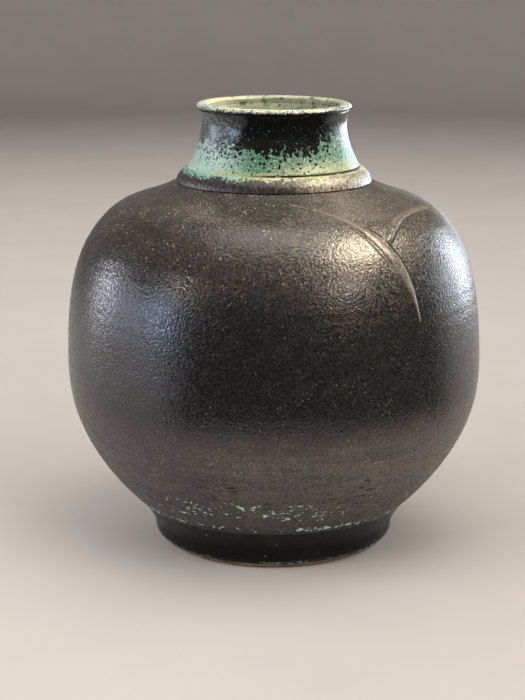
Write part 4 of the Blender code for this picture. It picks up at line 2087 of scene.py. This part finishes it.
@dataclass
class Studio:
    """Camera, lights, and the pale floor that sweeps up all round.

    Attributes:
        middle: The vase's middle.
        pieces: What each receiver of a light stands for, apart from the floor.
        camera_place: Where the camera stands.
        camera_pitch: How far it looks down, in degrees.
        lens: Its focal length, in millimetres.
        sensor: The length of its sensor's longer side, in millimetres.
        floor_reach: Radius where the floor starts to curve up.
        floor_wall: Height of the wall that it ends in.
        floor_bend: Radius of the curve.
        world: Colour of the light from all round.
        flag_span: First and last azimuth of the dark screen.
        flag_foot: Radius of its lower edge.
        flag_reach: Radius of its upper edge.
        flag_rise: Their heights.
    """

    middle: Vector
    pieces: dict[Receiver, list[Object]]
    camera_place: tuple[float, float, float] = (-0.00676, -1.0625, 0.3692)
    camera_pitch: float = 13.384
    lens: float = 91.66
    sensor: float = 36.0
    floor_reach: float = 2.6
    floor_wall: float = 2.4
    floor_bend: float = 0.8
    world: Colour = (0.16, 0.16, 0.17)
    flag_span: tuple[float, float] = (-138.0, 2.0)
    flag_foot: float = 0.30
    flag_reach: float = 0.80
    flag_rise: tuple[float, float] = (0.003, 0.42)

    def lights(self) -> list[Softbox]:
        """The soft lights.

        Returns:
            The windows at both sides, the lights above, and those that only fill.
        """
        cool, blue = (0.84, 0.90, 1.0), (0.52, 0.69, 1.0)
        warm, white = (1.0, 0.84, 0.61), (1.0, 0.98, 0.96)
        body, neck, floor = Receiver.BODY, Receiver.NECK, Receiver.FLOOR
        return [
            Softbox("left_window", 161, 6, (0.22, 0.66), 15.0, (0.86, 0.88, 1.0)),
            Softbox("left_front_window", -154, 6, (0.34, 0.48), 11.5, blue),
            Softbox("left_front_glow", -145, 23, (0.19, 0.13), 34.0, (1.0, 0.76, 0.64), receiver=body),
            Softbox("left_between", -176, 2, (0.90, 0.75), 2.7, (0.72, 0.75, 1.0), diffuse=False),
            Softbox("right_window", 44, 7, (0.50, 0.75), 10.5, (0.78, 0.86, 1.0)),
            Softbox("right_near", 25, 6, (0.60, 0.60), 2.8, cool),
            Softbox("right_side", 66, -2, (0.95, 0.50), 1.7, cool, diffuse=False),
            Softbox("neck_side", 66, 4, (1.00, 0.80), 2.6, cool, receiver=neck),
            Softbox("high_right", -9, 52, (1.20, 0.64), 21.5, warm, diffuse=False),
            Softbox("right_band", -47, 26, (0.50, 0.10), 36.0, (1.0, 0.82, 0.72), receiver=body),
            Softbox("back_above", 84, 46, (1.0, 0.7), 2.3, warm),
            Softbox("overhead", -100, 86, (1.4, 1.4), 2.3, (1.0, 0.95, 0.88)),
            Softbox("key", -26, 58, (2.2, 2.2), 3.9, (1.0, 0.92, 0.83), glossy=False),
            Softbox("fill", -100, 80, (4.0, 4.0), 1.2, (0.90, 0.95, 1.0), distance=2.6, glossy=False),
            Softbox("low_front", -36, -1, (1.2, 0.24), 6.0, (1.0, 0.90, 0.84), glossy=False,
                    receiver=body),
            Softbox("floor_back", 120, 40, (2.0, 1.0), 4.0, white, glossy=False, receiver=floor),
            Softbox("floor_left", -150, 26, (1.7, 0.8), 16.0, white, glossy=False, receiver=floor),
            Softbox("floor_right", -42, 26, (1.7, 0.8), 12.0, white, glossy=False, receiver=floor),
        ]

    def build_floor(self) -> Object:
        """A round floor that curves up into a plain wall.

        Returns:
            The floor.
        """
        bend, reach = self.floor_bend, self.floor_reach
        curve = arc((reach, bend), (bend, bend), -90, 0, 24)
        flat = np.array([(0.5 * MM, 0.0), (0.6, 0.0), (1.4, 0.0)])
        wall = np.array([(reach + bend, self.floor_wall)])
        points = np.concatenate((flat, curve, wall))
        turn = columns(128)
        shape = (len(points), len(turn))
        places = np.broadcast_to(points[:, None, :], (*shape, 2))
        grid = on_axis_circle(places, np.broadcast_to(turn[None, :], shape))
        floor = grid_mesh("floor", grid, *shape, row_closed=False)
        floor.data.shade_smooth()
        floor.data.materials.append(PaleCloth().build())
        return floor

    def build_flag(self) -> Object:
        """A dark screen at the front that only shows in the gloss of the glaze.

        Returns:
            The screen.
        """
        angles = np.radians(even_steps(*self.flag_span, 4.0))
        edges = zip((self.flag_foot, self.flag_reach), self.flag_rise)
        places = [(r * math.cos(a), r * math.sin(a), z) for r, z in edges for a in angles]
        count = len(angles)
        faces = [(i, i + 1, count + i + 1, count + i) for i in range(count - 1)]
        mesh = bpy.data.meshes.new("dark_screen")
        mesh.from_pydata(places, [], faces)
        flag = bpy.data.objects.new("dark_screen", mesh)
        bpy.context.scene.collection.objects.link(flag)
        tree = Tree("dark_screen")
        normal = tree.bump(tree.noise(0.2), 0.1 * MM)
        mesh.materials.append(tree.dress((0.01, 0.01, 0.01), 0.9, normal, gloss=0.0))
        flag.visible_camera = False
        flag.visible_diffuse = False
        flag.visible_shadow = False
        flag.visible_transmission = False
        return flag

    def build_camera(self) -> Object:
        """The camera, level from side to side.

        Returns:
            The camera object.
        """
        data = bpy.data.cameras.new("camera")
        data.lens = self.lens
        data.sensor_width = self.sensor
        camera = bpy.data.objects.new("camera", data)
        camera.location = self.camera_place
        camera.rotation_euler = (math.radians(90 - self.camera_pitch), 0, 0)
        bpy.context.scene.collection.objects.link(camera)
        return camera

    def build(self) -> None:
        """Makes the whole studio."""
        scene = bpy.context.scene
        scene.view_settings.view_transform = "Standard"
        scene.camera = self.build_camera()
        floor = self.build_floor()
        groups = {}
        for receiver, pieces in (*self.pieces.items(), (Receiver.FLOOR, [floor])):
            groups[receiver] = bpy.data.collections.new(receiver.value)
            for piece in pieces:
                groups[receiver].objects.link(piece)
        for softbox in self.lights():
            softbox.build(self.middle, groups)
        world = bpy.data.worlds.new("studio")
        world.use_nodes = True
        world.node_tree.nodes["Background"].inputs["Color"].default_value = (*self.world, 1)
        scene.world = world
        self.build_flag()


# ---- assembly ----

MAIN_RIDGE = RidgeLine(
    controls=((-83.0, 0.0110), (-62.0, 0.0235), (-51.0, 0.0595), (-48.5, 0.0990)),
    fades_out=True,
    incisions=(Incision(1, 0.40, 0.90, 0.85 * MM, 0.44 * MM),
               Incision(-1, 0.38, 0.62, 0.60 * MM, 0.38 * MM)),
)
BRANCH_RIDGE = RidgeLine(
    controls=((-13.5, 0.0345), (-35.0, 0.0280), (-45.0, 0.0355), (-56.0, 0.0552)),
    fades_out=False,
    incisions=(Incision(1, 0.10, 0.97, 0.75 * MM, 0.42 * MM),),
    crest_at=0.10,
    half_width=3.2 * MM,
    end_half_width=2.9 * MM,
    crease_from=0.58,
    crease_start=0.0,
    # Part of this paleness is a painted highlight on the branch's band.
    pale=0.65,
)
BRANCH_END = 0.93


def main() -> None:
    """Builds, dresses and places every piece."""
    logging.basicConfig(level=logging.INFO, format="%(name)s: %(message)s")
    foot_top, seam, mouth = (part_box(node)[0].z for node in ("lower_body", "upper_body", "neck_collar"))
    form = BodyForm(foot_top, seam, mouth, [MAIN_RIDGE, BRANCH_RIDGE])
    liner = LinerGlaze().build(cad_box[1][2])

    body = Body(form)
    lower, upper = body.build_lower(), body.build_upper()
    body.dress(lower, upper, liner)
    body_pieces = [lower, upper]

    ridge_glaze = RidgeGlaze().build()
    for ridge in (Ridge(form, MAIN_RIDGE, "shoulder_ridge_main"),
                  Ridge(form, BRANCH_RIDGE, "shoulder_ridge_branch", last=BRANCH_END)):
        piece = ridge.build()
        ridge.dress(piece, ridge_glaze)
        body_pieces.append(piece)

    foot = Foot(foot_top)
    ring, disc = foot.build_ring(), foot.build_disc()
    foot.dress(ring, disc, liner)

    neck = Neck()
    neck_pieces = [neck.build_collar(mouth), neck.build_neck(), neck.build_lip()]
    neck.dress(*neck_pieces, liner)

    low, high = Vector(cad_box[0]), Vector(cad_box[1])
    Studio((low + high) / 2, {Receiver.BODY: body_pieces, Receiver.NECK: neck_pieces}).build()


if __name__ == "__main__":
    main()
